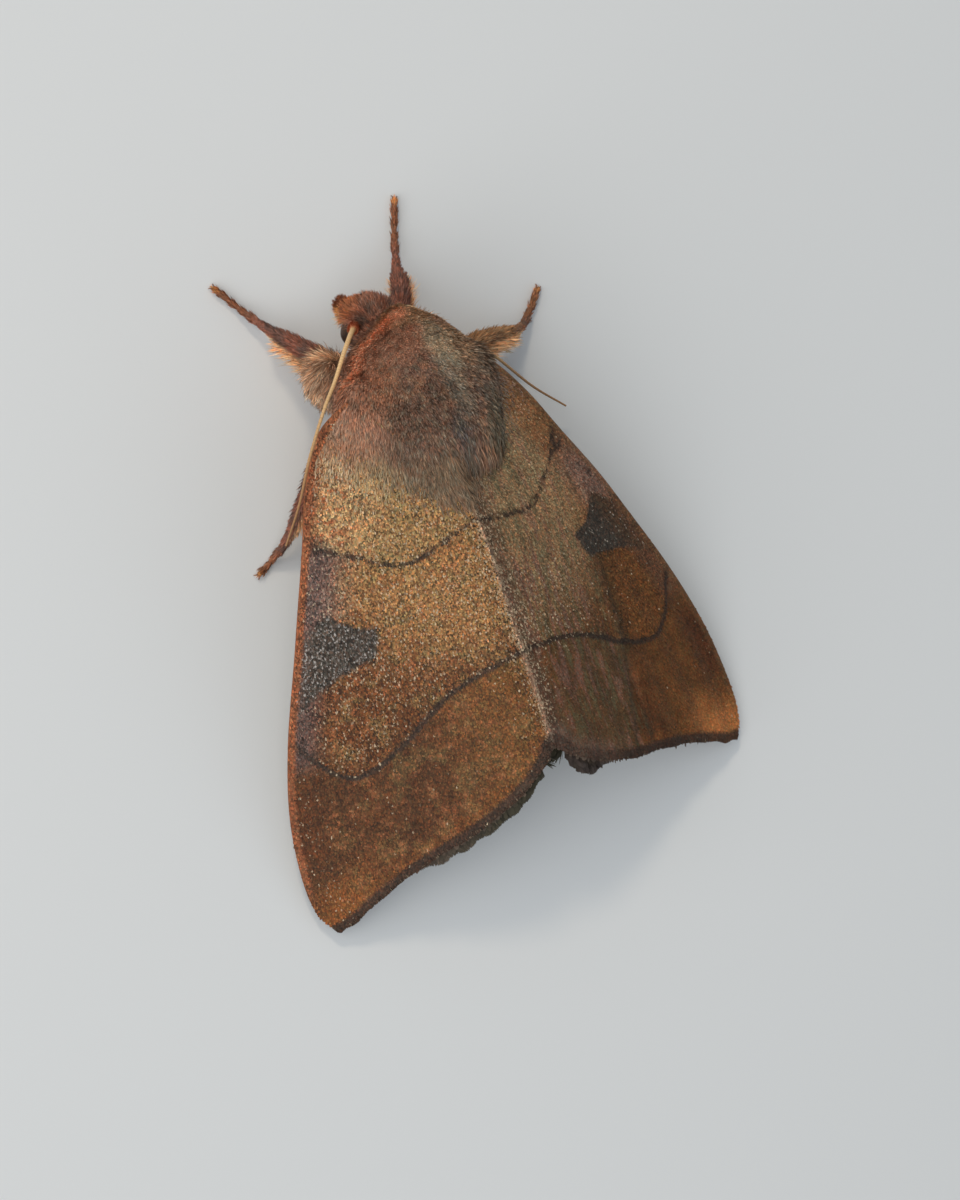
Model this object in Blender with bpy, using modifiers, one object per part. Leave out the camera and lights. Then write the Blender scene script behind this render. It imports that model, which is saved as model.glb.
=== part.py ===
"""A noctuid moth at rest on its feet, wings folded roof-wise, life size.

Lengths below are in millimetres and the finished meshes are in metres (MM).
X points to the moth's right, Y toward its head and Z up from the floor.
Places are measured from the middle of the line between the forewing tips,
and MIDDLE moves the finished moth so that its footprint is centred on the
origin. Every solid includes the depth of its coat of hair and scales.
"""
import math

import bmesh
import bpy
from mathutils import Matrix, Vector

MM = 0.001
MIDDLE = Vector((-0.29, 13.5, 0.0))   # centre of the footprint

GAP = 0.06             # thin cut left between neighbouring solids
WING_THICK = 0.5       # wing membrane with its scales, as a sturdy plate
SCALE_COAT = 0.05      # scales standing above the membrane
RIDGE_X = -0.35        # where the left and right wings meet
FOOT_HEIGHT = 0.25     # axis of the last foot joints above the floor
FEELER_RADIUS = 0.25

# Each forewing's hinge line: place, then yaw, nose-up slope and roof angle
# in degrees. The left wing is posed in mirrored X.
WING_POSES = {
    "right": (1, (-0.14, -1.12, 6.36), 0.7, 12.5, 31.2),
    "left": (-1, (0.14, -1.07, 6.25), -2.4, 13.4, 29.9),
}

# Forewing outline in the wing's own plane: x outward from the inner margin,
# y forward, with the tip at y = 0.
COSTA = [(3.5, 21.5), (5.0, 20.6), (6.25, 18.6), (7.25, 16.1), (8.85, 12.4),
         (10.55, 8.6), (11.65, 5.4), (12.12, 2.6), (12.05, 0.9), (11.4, -0.2)]
INNER_MARGIN = [(-0.6, 17.8), (-0.5, 15.0), (-0.35, 10.0), (-0.2, 7.0), (0.1, 5.3)]
OUTER_MARGIN = [(0.1, 5.3), (0.65, 4.55), (2.2, 3.45), (4.4, 2.45), (6.9, 1.7),
                (9.2, 0.75), (10.6, 0.02), (11.4, -0.2)]
ROOT = [(-0.6, 17.8), (1.6, 19.4), (3.5, 21.5)]

# Hindwing, folded under the forewing. Its fringe shows just past the outer
# margin on the left, and on the right only beside the inner corner.
HIND_COSTA = [(3.0, 19.0), (5.6, 15.5), (7.9, 10.5), (9.0, 6.0), (8.6, 1.5)]
HIND_INNER = [(0.9, 18.0), (0.9, 12.0), (0.9, 7.0), (1.0, 4.0)]
HIND_OUTER = {
    "left": [(1.0, 4.0), (2.4, 2.75), (4.5, 1.85), (6.6, 1.3), (8.6, 1.5)],
    "right": [(1.0, 4.0), (1.9, 2.95), (4.3, 2.7), (6.6, 2.2), (8.6, 1.5)],
}
HIND_ROOT = [(0.9, 18.0), (2.0, 18.7), (3.0, 19.0)]

# Body sections: y, x, z of the middle, half width, half height.
THORAX = [(23.4, 0.55, 6.6, 0.3, 0.35), (23.1, 0.50, 6.5, 0.75, 0.85),
          (22.7, 0.38, 6.4, 1.35, 1.4), (22.15, 0.24, 6.3, 2.1, 2.1),
          (21.3, 0.05, 6.15, 2.85, 2.95),
          (20.1, 0.0, 6.05, 3.4, 3.55), (18.8, -0.10, 6.15, 3.6, 3.8),
          (17.4, -0.15, 6.45, 3.3, 3.5), (16.3, -0.15, 6.6, 2.7, 2.9),
          (15.4, -0.15, 6.3, 2.0, 2.0), (15.0, -0.15, 6.2, 0.8, 0.8)]
ABDOMEN = [(16.0, -0.15, 5.6, 1.9, 1.9), (14.6, -0.15, 5.35, 2.15, 2.15),
           (12.6, -0.15, 5.0, 2.15, 2.15), (10.4, -0.15, 4.7, 1.95, 1.95),
           (8.4, -0.12, 4.4, 1.6, 1.6), (6.8, -0.1, 4.2, 1.1, 1.1),
           (5.9, -0.1, 4.1, 0.6, 0.6), (5.6, -0.1, 4.1, 0.2, 0.2)]
HEAD = [(24.2, -0.15, 4.35, 0.5, 0.5), (24.0, -0.1, 4.35, 0.9, 0.85),
        (23.5, 0.05, 4.3, 1.2, 1.35), (22.7, 0.22, 4.35, 1.2, 1.55),
        (22.0, 0.15, 4.5, 1.2, 1.5), (21.6, 0.15, 4.6, 1.0, 1.1)]

# Lobes of long hair on the thorax: the tegulae over the wing roots and the
# chest tufts behind the fore legs, as centre and half sizes.
LOBES = [((-2.40, 19.4, 7.8), (1.2, 2.1, 1.1)), ((2.05, 19.2, 7.85), (1.15, 2.1, 1.1)),
         ((-2.3, 21.4, 3.5), (1.2, 1.4, 1.1)), ((2.35, 21.3, 3.4), (1.1, 1.35, 0.95))]

EYE_RADIUS = 0.66
EYES = {"left": (-0.58, 22.75, 4.0), "right": (1.02, 22.62, 4.0)}

# Palps curve up before the face: points with the radius at each.
PALPS = {
    "left": [((-0.35, 23.2, 2.75), 0.30), ((-0.46, 23.7, 2.9), 0.42),
             ((-0.52, 24.05, 3.3), 0.42), ((-0.5, 24.2, 3.75), 0.30)],
    "right": [((0.5, 23.05, 2.75), 0.30), ((0.55, 23.5, 2.9), 0.42),
              ((0.55, 23.75, 3.3), 0.42), ((0.5, 23.85, 3.75), 0.30)],
}

# The left antenna lies back over the shoulder along the costa; the right
# one droops clear of the wing toward the floor.
ANTENNAE = {
    "left": [(-0.78, 23.05, 4.95), (-1.57, 22.75, 6.35), (-2.32, 22.19, 7.05),
             (-3.25, 21.3, 7.55), (-4.3, 20.42, 8.15), (-5.5, 18.86, 7.8),
             (-6.42, 17.25, 7.0), (-7.2, 15.85, 5.6)],
    "right": [(0.95, 23.1, 4.95), (1.9, 22.75, 4.75), (3.15, 21.2, 4.55),
              (4.55, 19.88, 3.85), (6.3, 17.82, 2.2), (7.75, 16.4, 1.15)],
}

# Legs from the hip: points with the radius at each.
LEGS = {
    "fore_left": [((-0.8, 21.2, 2.9), 0.55), ((-1.5, 21.8, 2.6), 0.60),
                  ((-2.05, 22.3, 2.5), 0.60), ((-2.65, 23.3, 1.7), 0.45),
                  ((-3.15, 24.2, 0.9), 0.36), ((-3.82, 25.45, 0.36), 0.27),
                  ((-4.45, 26.6, FOOT_HEIGHT), 0.28)],
    "fore_right": [((1.0, 21.2, 2.9), 0.55), ((1.6, 22.1, 2.6), 0.55),
                   ((2.15, 23.05, 2.4), 0.50), ((2.7, 23.9, 1.7), 0.44),
                   ((3.12, 24.65, 0.9), 0.34), ((3.78, 26.0, 0.36), 0.27),
                   ((4.36, 27.25, FOOT_HEIGHT), 0.28)],
    "mid_left": [((-1.1, 19.2, 2.9), 0.6), ((-2.6, 18.9, 2.7), 0.55),
                 ((-3.9, 18.2, 2.9), 0.48), ((-4.9, 17.0, 2.2), 0.42),
                 ((-5.85, 15.8, 1.1), 0.38), ((-6.6, 15.2, 0.36), 0.27),
                 ((-7.3, 14.85, FOOT_HEIGHT), 0.28)],
    "mid_right": [((1.1, 19.2, 2.9), 0.6), ((2.8, 19.9, 2.6), 0.60),
                  ((4.4, 20.3, 2.5), 0.60), ((5.9, 20.3, 1.8), 0.45),
                  ((7.15, 20.2, 0.95), 0.36), ((8.05, 20.65, 0.36), 0.28),
                  ((8.85, 21.45, FOOT_HEIGHT), 0.28)],
    "hind_left": [((-0.9, 17.2, 3.1), 0.6), ((-2.2, 16.0, 2.6), 0.55),
                  ((-3.5, 14.8, 2.7), 0.48), ((-4.2, 12.9, 2.0), 0.42),
                  ((-4.7, 10.9, 0.9), 0.34), ((-4.9, 9.3, 0.36), 0.27),
                  ((-5.0, 7.7, FOOT_HEIGHT), 0.28)],
    "hind_right": [((0.7, 17.2, 3.1), 0.6), ((2.0, 16.0, 2.6), 0.55),
                   ((3.3, 14.8, 2.7), 0.48), ((4.0, 12.9, 2.0), 0.42),
                   ((4.5, 10.9, 0.9), 0.34), ((4.75, 9.3, 0.36), 0.27),
                   ((4.9, 7.7, FOOT_HEIGHT), 0.28)],
}

COLOURS = {
    "wing": ((0.33, 0.19, 0.09), 0.7),
    "fur": ((0.24, 0.13, 0.07), 0.85),
    "leg": ((0.28, 0.12, 0.05), 0.75),
    "feeler": ((0.72, 0.53, 0.28), 0.6),
    "eye": ((0.03, 0.02, 0.015), 0.2),
}


def collection(name):
    made = bpy.data.collections.new(name)
    bpy.context.scene.collection.children.link(made)
    return made


def material(name):
    colour, roughness = COLOURS[name]
    made = bpy.data.materials.new(name)
    made.use_nodes = True
    shader = made.node_tree.nodes["Principled BSDF"]
    shader.inputs["Base Color"].default_value = (*colour, 1.0)
    shader.inputs["Roughness"].default_value = roughness
    shader.inputs["Metallic"].default_value = 0.0
    made.diffuse_color = (*colour, 1.0)
    return made


def add(name, bm, look, where):
    """Turn a bmesh in millimetres into a smooth shaded object in metres."""
    shift = Matrix.Scale(MM, 4) @ Matrix.Translation(-MIDDLE)
    bmesh.ops.transform(bm, matrix=shift, verts=bm.verts)
    bmesh.ops.recalc_face_normals(bm, faces=bm.faces)
    mesh = bpy.data.meshes.new(name)
    bm.to_mesh(mesh)
    bm.free()
    mesh.shade_smooth()
    mesh.materials.append(look)
    obj = bpy.data.objects.new(name, mesh)
    where.objects.link(obj)
    return obj


def make_cutter(obj):
    obj.hide_render = True
    obj.display_type = "WIRE"
    return obj


def combine(obj, other, operation):
    boolean = obj.modifiers.new(operation.lower() + "_" + other.name, "BOOLEAN")
    boolean.operation = operation
    boolean.solver = "EXACT"
    boolean.object = other


def cut(obj, cutter):
    combine(obj, cutter, "DIFFERENCE")


def along(points, t):
    """Point at t (0 to 1) on a smooth Catmull-Rom curve through the points."""
    spans = len(points) - 1
    index = min(int(t * spans), spans - 1)
    u = t * spans - index
    p1, p2 = Vector(points[index]), Vector(points[index + 1])
    p0 = Vector(points[index - 1]) if index > 0 else 2 * p1 - p2
    p3 = Vector(points[index + 2]) if index + 2 <= spans else 2 * p2 - p1
    bend = 2 * p0 - 5 * p1 + 4 * p2 - p3
    twist = 3 * p1 - p0 - 3 * p2 + p3
    return p1 + 0.5 * u * (p2 - p0 + u * (bend + u * twist))


def lofted(sections, rings, sides, grow=0.0):
    """A closed body swept through elliptical sections along Y."""
    bm = bmesh.new()
    first, last = sections[0][0] + grow, sections[-1][0] - grow
    loops = []
    for i in range(rings):
        y, x, z, half_width, half_height = along(sections, i / (rings - 1))
        y = first if i == 0 else last if i == rings - 1 else y
        loop = []
        for k in range(sides):
            angle = 2 * math.pi * k / sides
            side = x + (half_width + grow) * math.cos(angle)
            up = z + (half_height + grow) * math.sin(angle)
            loop.append(bm.verts.new((side, y, up)))
        loops.append(loop)
    for near, far in zip(loops, loops[1:]):
        for k in range(sides):
            nxt = (k + 1) % sides
            bm.faces.new((near[k], near[nxt], far[nxt], far[k]))
    bm.faces.new(loops[0])
    bm.faces.new(reversed(loops[-1]))
    return bm


def ball(centre, half_sizes):
    bm = bmesh.new()
    bmesh.ops.create_uvsphere(bm, u_segments=16, v_segments=10, radius=1.0)
    bmesh.ops.scale(bm, verts=bm.verts, vec=half_sizes)
    bmesh.ops.translate(bm, verts=bm.verts, vec=centre)
    return bm


def thorax_body(name, grow, look, where, guides):
    """The thorax with its hair lobes, each side grown by the same depth."""
    body = add(name, lofted(THORAX, 15, 20, grow), look, where)
    for i, (centre, half_sizes) in enumerate(LOBES):
        swollen = [half + grow for half in half_sizes]
        lobe = add("%s_lobe_%d" % (name, i + 1), ball(centre, swollen), look, guides)
        combine(body, make_cutter(lobe), "UNION")
    return body


def block(low, high):
    bm = bmesh.new()
    bmesh.ops.create_cube(bm, size=1.0)
    low, high = Vector(low), Vector(high)
    bmesh.ops.scale(bm, verts=bm.verts, vec=high - low)
    bmesh.ops.translate(bm, verts=bm.verts, vec=(low + high) / 2)
    return bm


def tube(name, points, radii, steps, look, where):
    """A round limb or feeler along a smooth curve, as a closed mesh."""
    curve = bpy.data.curves.new(name, "CURVE")
    curve.dimensions = "3D"
    curve.bevel_depth = MM
    curve.bevel_resolution = 2
    curve.use_fill_caps = True
    spline = curve.splines.new("POLY")
    spline.points.add(steps)
    sizes = [(radius, 0.0) for radius in radii]
    for i, point in enumerate(spline.points):
        place = (along(points, i / steps) - MIDDLE) * MM
        point.co = (*place, 1.0)
        point.radius = along(sizes, i / steps)[0]
    drawn = bpy.data.objects.new(name + "_path", curve)
    where.objects.link(drawn)
    graph = bpy.context.evaluated_depsgraph_get()
    mesh = bpy.data.meshes.new_from_object(drawn.evaluated_get(graph))
    bpy.data.objects.remove(drawn)
    bm = bmesh.new()
    bm.from_mesh(mesh)
    bmesh.ops.remove_doubles(bm, verts=bm.verts, dist=1e-7)
    bmesh.ops.recalc_face_normals(bm, faces=bm.faces)
    bm.to_mesh(mesh)
    bm.free()
    mesh.shade_smooth()
    mesh.materials.clear()
    mesh.materials.append(look)
    obj = bpy.data.objects.new(name, mesh)
    where.objects.link(obj)
    return obj


def wing_sag(x, y):
    """How far the wing dips below its plane near the root and the costa."""
    ahead = y - 14.0
    root = 0.18 * (ahead + math.sqrt(ahead * ahead + 1.0)) / 2
    return root + 0.005 * max(0.0, x - 8.5) ** 2


def wing_matrix(pose):
    mirror, place, yaw, slope, roof = pose
    turn = (Matrix.Rotation(math.radians(yaw), 4, "Z")
            @ Matrix.Rotation(math.radians(slope), 4, "X")
            @ Matrix.Rotation(math.radians(roof), 4, "Y"))
    return Matrix.Diagonal((mirror, 1, 1, 1)) @ Matrix.Translation(place) @ turn


def wing_sheet(edges, pose, rows, columns, depth):
    """A wing surface spanned between four edge curves, depth below the top."""
    inner, costa, root, outer = edges
    bm = bmesh.new()
    corner = [Vector(p) for p in (inner[0], costa[0], inner[-1], costa[-1])]
    grid = []
    for i in range(rows + 1):
        t = i / rows
        line = []
        for k in range(columns + 1):
            s = k / columns
            ribs = (1 - s) * along(inner, t) + s * along(costa, t)
            chords = (1 - t) * along(root, s) + t * along(outer, s)
            near = (1 - s) * corner[0] + s * corner[1]
            far = (1 - s) * corner[2] + s * corner[3]
            x, y = ribs + chords - (1 - t) * near - t * far
            line.append(bm.verts.new((x, y, -wing_sag(x, y) - depth)))
        grid.append(line)
    for upper, lower in zip(grid, grid[1:]):
        for k in range(columns):
            bm.faces.new((upper[k], lower[k], lower[k + 1], upper[k + 1]))
    bmesh.ops.transform(bm, matrix=wing_matrix(pose), verts=bm.verts)
    return bm


def make_wing(name, edges, side, size, depth, look, where):
    bm = wing_sheet(edges, WING_POSES[side], *size, depth)
    obj = add(name, bm, look, where)
    mesh = obj.data
    if sum(face.normal.z for face in mesh.polygons) < 0:
        mesh.flip_normals()
    plate = obj.modifiers.new("plate", "SOLIDIFY")
    plate.thickness = WING_THICK * MM
    plate.offset = -1.0
    return obj


def build():
    parts = collection("moth")
    cutters = collection("cutters")
    looks = {name: material(name) for name in COLOURS}

    fur = looks["fur"]
    thorax_body("thorax", 0.0, fur, parts, cutters)
    body_cut = make_cutter(thorax_body("thorax_room", GAP, fur, cutters, cutters))
    head_cut = make_cutter(add("head_room", lofted(HEAD, 11, 18, GAP), fur, cutters))
    floor = block((-30, -20, -5), (30, 50, 0))
    floor_cut = make_cutter(add("floor_room", floor, fur, cutters))

    abdomen = add("abdomen", lofted(ABDOMEN, 13, 18), fur, parts)
    cut(abdomen, body_cut)

    head = add("head", lofted(HEAD, 11, 18), fur, parts)
    cut(head, body_cut)
    for side, centre in EYES.items():
        eye = add("eye_" + side, ball(centre, [EYE_RADIUS] * 3), looks["eye"], parts)
        cut(eye, body_cut)
        room = ball(centre, [EYE_RADIUS + GAP] * 3)
        cut(head, make_cutter(add("socket_" + side, room, looks["eye"], cutters)))

    for side, stations in PALPS.items():
        points, radii = zip(*stations)
        palp = tube("palp_" + side, points, radii, 8, fur, parts)
        cut(palp, head_cut)

    for side, points in ANTENNAE.items():
        feeler = tube("antenna_" + side, points, [FEELER_RADIUS] * 2, 20,
                      looks["feeler"], parts)
        cut(feeler, head_cut)

    for place, stations in LEGS.items():
        points, radii = zip(*stations)
        leg = tube("leg_" + place, points, radii, 15, looks["leg"], parts)
        cut(leg, body_cut)
        cut(leg, head_cut)
        cut(leg, floor_cut)

    forewing = (INNER_MARGIN, COSTA, ROOT, OUTER_MARGIN)
    for side in WING_POSES:
        beyond = RIDGE_X + (GAP if side == "right" else -GAP) / 2
        low, high = ((-30, beyond) if side == "right" else (beyond, 30))
        half = block((low, -20, -5), (high, 50, 30))
        half_cut = make_cutter(add("other_half_" + side, half, looks["wing"], cutters))
        fore = make_wing("forewing_" + side, forewing, side, (18, 10), -SCALE_COAT,
                         looks["wing"], parts)
        under = WING_THICK + GAP - SCALE_COAT
        hindwing = (HIND_INNER, HIND_COSTA, HIND_ROOT, HIND_OUTER[side])
        hind = make_wing("hindwing_" + side, hindwing, side, (14, 6), under,
                         looks["wing"], parts)
        for wing in (fore, hind):
            cut(wing, half_cut)
            cut(wing, body_cut)


for old in list(bpy.data.objects):
    bpy.data.objects.remove(old)
build()
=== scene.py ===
"""A noctuid moth at rest with its wings folded roof-wise, life size.

Places are worked out in millimetres in the body's own frame, X to the moth's
right, Y toward its head and Z up from the floor, as in the part's source. The
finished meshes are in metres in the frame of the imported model.
"""
import math

import bmesh
import bpy
import numpy as np
from mathutils import Matrix, Vector


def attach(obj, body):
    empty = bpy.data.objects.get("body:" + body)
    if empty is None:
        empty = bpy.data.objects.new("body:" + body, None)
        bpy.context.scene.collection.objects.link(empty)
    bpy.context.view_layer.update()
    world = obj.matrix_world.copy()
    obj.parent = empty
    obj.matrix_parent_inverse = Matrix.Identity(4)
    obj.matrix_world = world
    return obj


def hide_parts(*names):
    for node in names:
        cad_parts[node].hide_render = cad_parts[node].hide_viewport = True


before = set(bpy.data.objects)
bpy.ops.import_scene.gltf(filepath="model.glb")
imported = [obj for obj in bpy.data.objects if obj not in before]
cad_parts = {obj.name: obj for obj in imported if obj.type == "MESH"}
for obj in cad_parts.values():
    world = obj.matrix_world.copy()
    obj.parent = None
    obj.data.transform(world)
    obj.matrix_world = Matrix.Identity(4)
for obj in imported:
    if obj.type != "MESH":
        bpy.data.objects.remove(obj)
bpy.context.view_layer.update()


# ---------------------------------------------------------------------------
# Forewing membranes. Each is one thin plate held roof-wise over the back,
# stiffened by veins that pleat its outer half, with its inner edge rolled
# level over the body and a soft fold down the middle of the right one.
# ---------------------------------------------------------------------------
MM = 0.001
MIDDLE = np.array((-0.29, 13.5, 0.0))   # the frame's origin in body places
ROOT_BODY = "root"

# Mirror, hinge, yaw, slope and roof angle of each forewing, in degrees.
WING_POSES = {
    "left": (-1, (0.14, -1.07, 6.25), -2.4, 13.4, 29.9),
    "right": (1, (-0.14, -1.12, 6.36), 0.7, 12.5, 31.2),
}
RIDGE_X = -0.35          # where the two wings meet over the back
RIDGE_GAP = 0.03         # scales and hairs keep this far off it
FAR = 9.0                # a distance mark that no marking reaches
SAG_START, SAG = 14.0, 0.18      # ahead of the start the wing bends down toward the head
DROOP_START, DROOP = 8.5, 0.005  # outside of it the costa's edge droops
ROLL_START, ROLL = 1.7, 0.10     # inside of it the wing rolls level over the body
PLEATS = {"left": (12.5, 0.028), "right": (15.5, 0.040)}     # where they start, and height
COSTA = [(3.5, 21.5), (5.0, 20.6), (6.25, 18.6), (7.25, 16.1), (8.85, 12.4),
         (10.55, 8.6), (11.65, 5.4), (12.12, 2.6), (12.05, 0.9), (11.4, -0.2)]
INNER_MARGIN = [(-0.6, 17.8), (-0.5, 15.0), (-0.35, 10.0), (-0.2, 7.0), (0.1, 5.3)]
OUTER_MARGIN = [(0.1, 5.3), (0.65, 4.55), (2.2, 3.45), (4.4, 2.45), (6.9, 1.7),
                (9.2, 0.75), (10.6, 0.02), (11.4, -0.2)]
WING_ROOT = [(-0.6, 17.8), (1.6, 19.4), (3.5, 21.5)]
FOREWING = (INNER_MARGIN, COSTA, WING_ROOT, OUTER_MARGIN)
FOREWING_REACH = 0.972   # the membrane ends here and its fringe goes on
MEMBRANE = 0.07          # thickness
CLEAR = 0.005            # scales stand this far off the membrane
VEINS = 7                # pleats across the outer half
MAP_EDGE = 0.02          # margin of the bake map, and the wing's length over it
MAP_SPAN = 26.0

# Markings in the wing's own plane, x outward and y forward.
INNER_LINE = [(0.1, 15.55), (1.6, 15.1), (3.3, 14.7), (4.35, 15.1), (5.45, 15.75),
              (6.4, 16.3), (7.0, 16.9)]
OUTER_LINE = [(0.1, 9.65), (1.6, 9.4), (2.9, 9.0), (4.1, 8.45), (5.1, 7.8),
              (6.3, 7.1), (7.2, 6.65), (8.2, 6.45), (8.8, 6.6), (9.35, 7.1),
              (9.8, 7.7), (10.4, 8.75)]
DARK_PATCH = [(8.6, 13.1), (8.3, 12.75), (7.45, 13.40), (6.98, 13.63), (6.68, 13.12),
              (6.09, 12.71), (5.25, 12.50), (5.43, 11.86), (5.79, 11.23), (6.43, 11.15),
              (7.03, 10.97), (7.66, 10.79), (8.33, 10.53), (9.26, 10.02), (10.2, 9.4)]

# The right wing's soft fold, and a shallower crease nearer the body.
FOLD = [(6.45, 11.5), (6.5, 9.1), (6.25, 6.9), (5.75, 5.1), (5.1, 3.0)]
CREASE = [(3.9, 13.7), (3.2, 12.4), (2.3, 10.7), (1.5, 8.9), (0.2, 5.1)]
GROOVES = ((FOLD, 0.12, 0.34), (CREASE, 0.06, 0.26))     # line, depth and width


def curve_at(points, t):
    """Places at t (0 to 1) on a smooth curve through the points."""
    points = np.asarray(points, float)
    t = np.asarray(t, float)
    spans = len(points) - 1
    padded = np.vstack((2 * points[0] - points[1], points, 2 * points[-1] - points[-2]))
    index = np.clip((t * spans).astype(int), 0, spans - 1)
    u = (t * spans - index)[..., None]
    p0, p1, p2, p3 = (padded[index + k] for k in range(4))
    bend = 2 * p0 - 5 * p1 + 4 * p2 - p3
    twist = 3 * p1 - p0 - 3 * p2 + p3
    return p1 + 0.5 * u * (p2 - p0 + u * (bend + u * twist))


def smooth(value, start, end):
    """0 before start and 1 after end, with a soft step between."""
    t = np.clip((value - start) / (end - start), 0.0, 1.0)
    return t * t * (3 - 2 * t)


def line_distance(points, line):
    """Distance of each point from an open line of straight pieces."""
    line = np.asarray(line, float)
    start, step = line[:-1], np.diff(line, axis=0)
    offset = points[:, None] - start
    share = np.clip((offset * step).sum(2) / (step ** 2).sum(1), 0, 1)
    return np.linalg.norm(offset - share[..., None] * step, axis=2).min(1)


def inside(points, outline):
    """Which points lie within a closed outline."""
    near = np.asarray(outline, float)
    far = np.roll(near, -1, axis=0)
    x, y = points[:, :1], points[:, 1:2]
    spans_y = (near[:, 1] > y) != (far[:, 1] > y)
    rise = np.where(far[:, 1] == near[:, 1], 1e-9, far[:, 1] - near[:, 1])
    crossing = near[:, 0] + (y - near[:, 1]) / rise * (far[:, 0] - near[:, 0])
    return (spans_y & (x < crossing)).sum(1) % 2 == 1


def unit(ways):
    """Directions of length 1."""
    return ways / np.linalg.norm(ways, axis=1, keepdims=True)


def dense(points, count=60):
    return curve_at(points, np.linspace(0, 1, count))


def wing_chart(edges, s, t):
    """Places in the wing's plane, s inner edge to costa and t root to tip."""
    inner, costa, root, outer = edges
    corners = [np.array(p) for p in (inner[0], costa[0], inner[-1], costa[-1])]
    ribs = (1 - s[..., None]) * curve_at(inner, t) + s[..., None] * curve_at(costa, t)
    chords = (1 - t[..., None]) * curve_at(root, s) + t[..., None] * curve_at(outer, s)
    near = (1 - s[..., None]) * corners[0] + s[..., None] * corners[1]
    far = (1 - s[..., None]) * corners[2] + s[..., None] * corners[3]
    return ribs + chords - (1 - t[..., None]) * near - t[..., None] * far


def edge_x(edge, y):
    """x of a front-to-back edge where it crosses each y."""
    run = dense(edge)
    return np.interp(y, run[::-1, 1], run[::-1, 0])


def wing_height(place, side):
    """Height of the wing's upper face over its plane."""
    x, y = place.T
    ahead = y - SAG_START
    sag = SAG * (ahead + np.sqrt(ahead * ahead + 1.0)) / 2
    sag = sag + DROOP * np.maximum(0.0, x - DROOP_START) ** 2
    roll = ROLL * np.maximum(0.0, ROLL_START - x) ** 2
    inner, costa = edge_x(INNER_MARGIN, y), edge_x(COSTA, y)
    across = (x - inner) / (costa - inner)
    start, pleat = PLEATS[side]
    veined = smooth(y, start, 6.0) * smooth(across, 0.0, 0.12)
    height = pleat * np.cos(2 * math.pi * VEINS * across) * veined - sag - roll
    if side == "right":
        for line, deep, wide in GROOVES:
            gap = line_distance(place, dense(line))
            height = height - deep * np.exp(-(gap / wide) ** 2) * smooth(y, 13.5, 10.5)
    return height


def wing_matrix(side):
    mirror, hinge, yaw, slope, roof = WING_POSES[side]
    turn = (Matrix.Rotation(math.radians(yaw), 4, "Z")
            @ Matrix.Rotation(math.radians(slope), 4, "X")
            @ Matrix.Rotation(math.radians(roof), 4, "Y"))
    flip = Matrix.Diagonal((mirror, 1, 1, 1))
    return np.array(flip @ Matrix.Translation(hinge) @ turn)


def wing_points(place, side, depth=0.0):
    """Body places of points in the wing's plane, depth below its upper face."""
    matrix = wing_matrix(side)
    lifted = np.column_stack((place, wing_height(place, side) - depth))
    return lifted @ matrix[:3, :3].T + matrix[:3, 3]


def off_ridge(points, side):
    """Which places lie clear of the line where the wings meet."""
    return (points[:, 0] - RIDGE_X) * WING_POSES[side][0] > RIDGE_GAP


def line_side(place, line):
    """Signed distance ahead of a line that crosses the wing."""
    run = dense(line, 40)
    x, y = place.T
    slope = np.interp(x, run[1:, 0], np.diff(run[:, 1]) / np.diff(run[:, 0]))
    return (y - np.interp(x, run[:, 0], run[:, 1])) / np.sqrt(1 + slope ** 2)


def wing_marks(place, side):
    """What the wing's finish needs to know at each place in its plane."""
    within = inside(place, DARK_PATCH)
    patch = line_distance(place, DARK_PATCH + DARK_PATCH[:1])
    right = 1.0 if side == "right" else 0.0
    everywhere = np.ones(len(place))
    fold, crease, between = FAR * everywhere, FAR * everywhere, 0.0 * everywhere
    if right:
        fold = line_distance(place, dense(FOLD))
        crease = line_distance(place, dense(CREASE))
        x, y = place.T
        between = (smooth(x, edge_x(CREASE, y) - 0.1, edge_x(CREASE, y) + 0.5)
                   * smooth(x, edge_x(FOLD, y) + 0.25, edge_x(FOLD, y) - 0.15))
    shift = 40.0 * right         # so that the two wings' mottling differs
    from_ridge = (wing_points(place, side)[:, 0] - RIDGE_X) * WING_POSES[side][0]
    return {
        "place": np.column_stack((place[:, 0] + shift, place[:, 1], np.zeros(len(place)))),
        "inner_line": line_side(place, INNER_LINE),
        "outer_line": line_side(place, OUTER_LINE),
        "patch": np.where(within, -patch, patch),
        "rim": line_distance(place, dense(OUTER_MARGIN)),
        "costa": edge_x(COSTA, place[:, 1]) - place[:, 0],
        "ridge": from_ridge,
        "fold": fold,
        "crease": crease,
        "between": between,
        "right": right * everywhere,
    }


def linked(name, data):
    """A new object in the scene."""
    made = bpy.data.objects.new(name, data)
    bpy.context.scene.collection.objects.link(made)
    return made


def new_piece(name, points, faces, marks, nodes=(), look=None):
    """A mesh piece in metres from body places, with its marks as attributes."""
    mesh = bpy.data.meshes.new(name)
    faces = np.asarray(faces)
    sides = faces.shape[1]
    mesh.vertices.add(len(points))
    mesh.vertices.foreach_set("co", ((points - MIDDLE) * MM).ravel())
    mesh.loops.add(faces.size)
    mesh.loops.foreach_set("vertex_index", faces.ravel())
    mesh.polygons.add(len(faces))
    mesh.polygons.foreach_set("loop_start", np.arange(0, faces.size, sides))
    mesh.update(calc_edges=True)
    write_marks(mesh, marks)
    mesh.shade_smooth()
    if look:
        mesh.materials.append(look)
    piece = linked(name, mesh)
    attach(piece, ROOT_BODY)
    if nodes:
        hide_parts(*nodes)
    return piece


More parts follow.
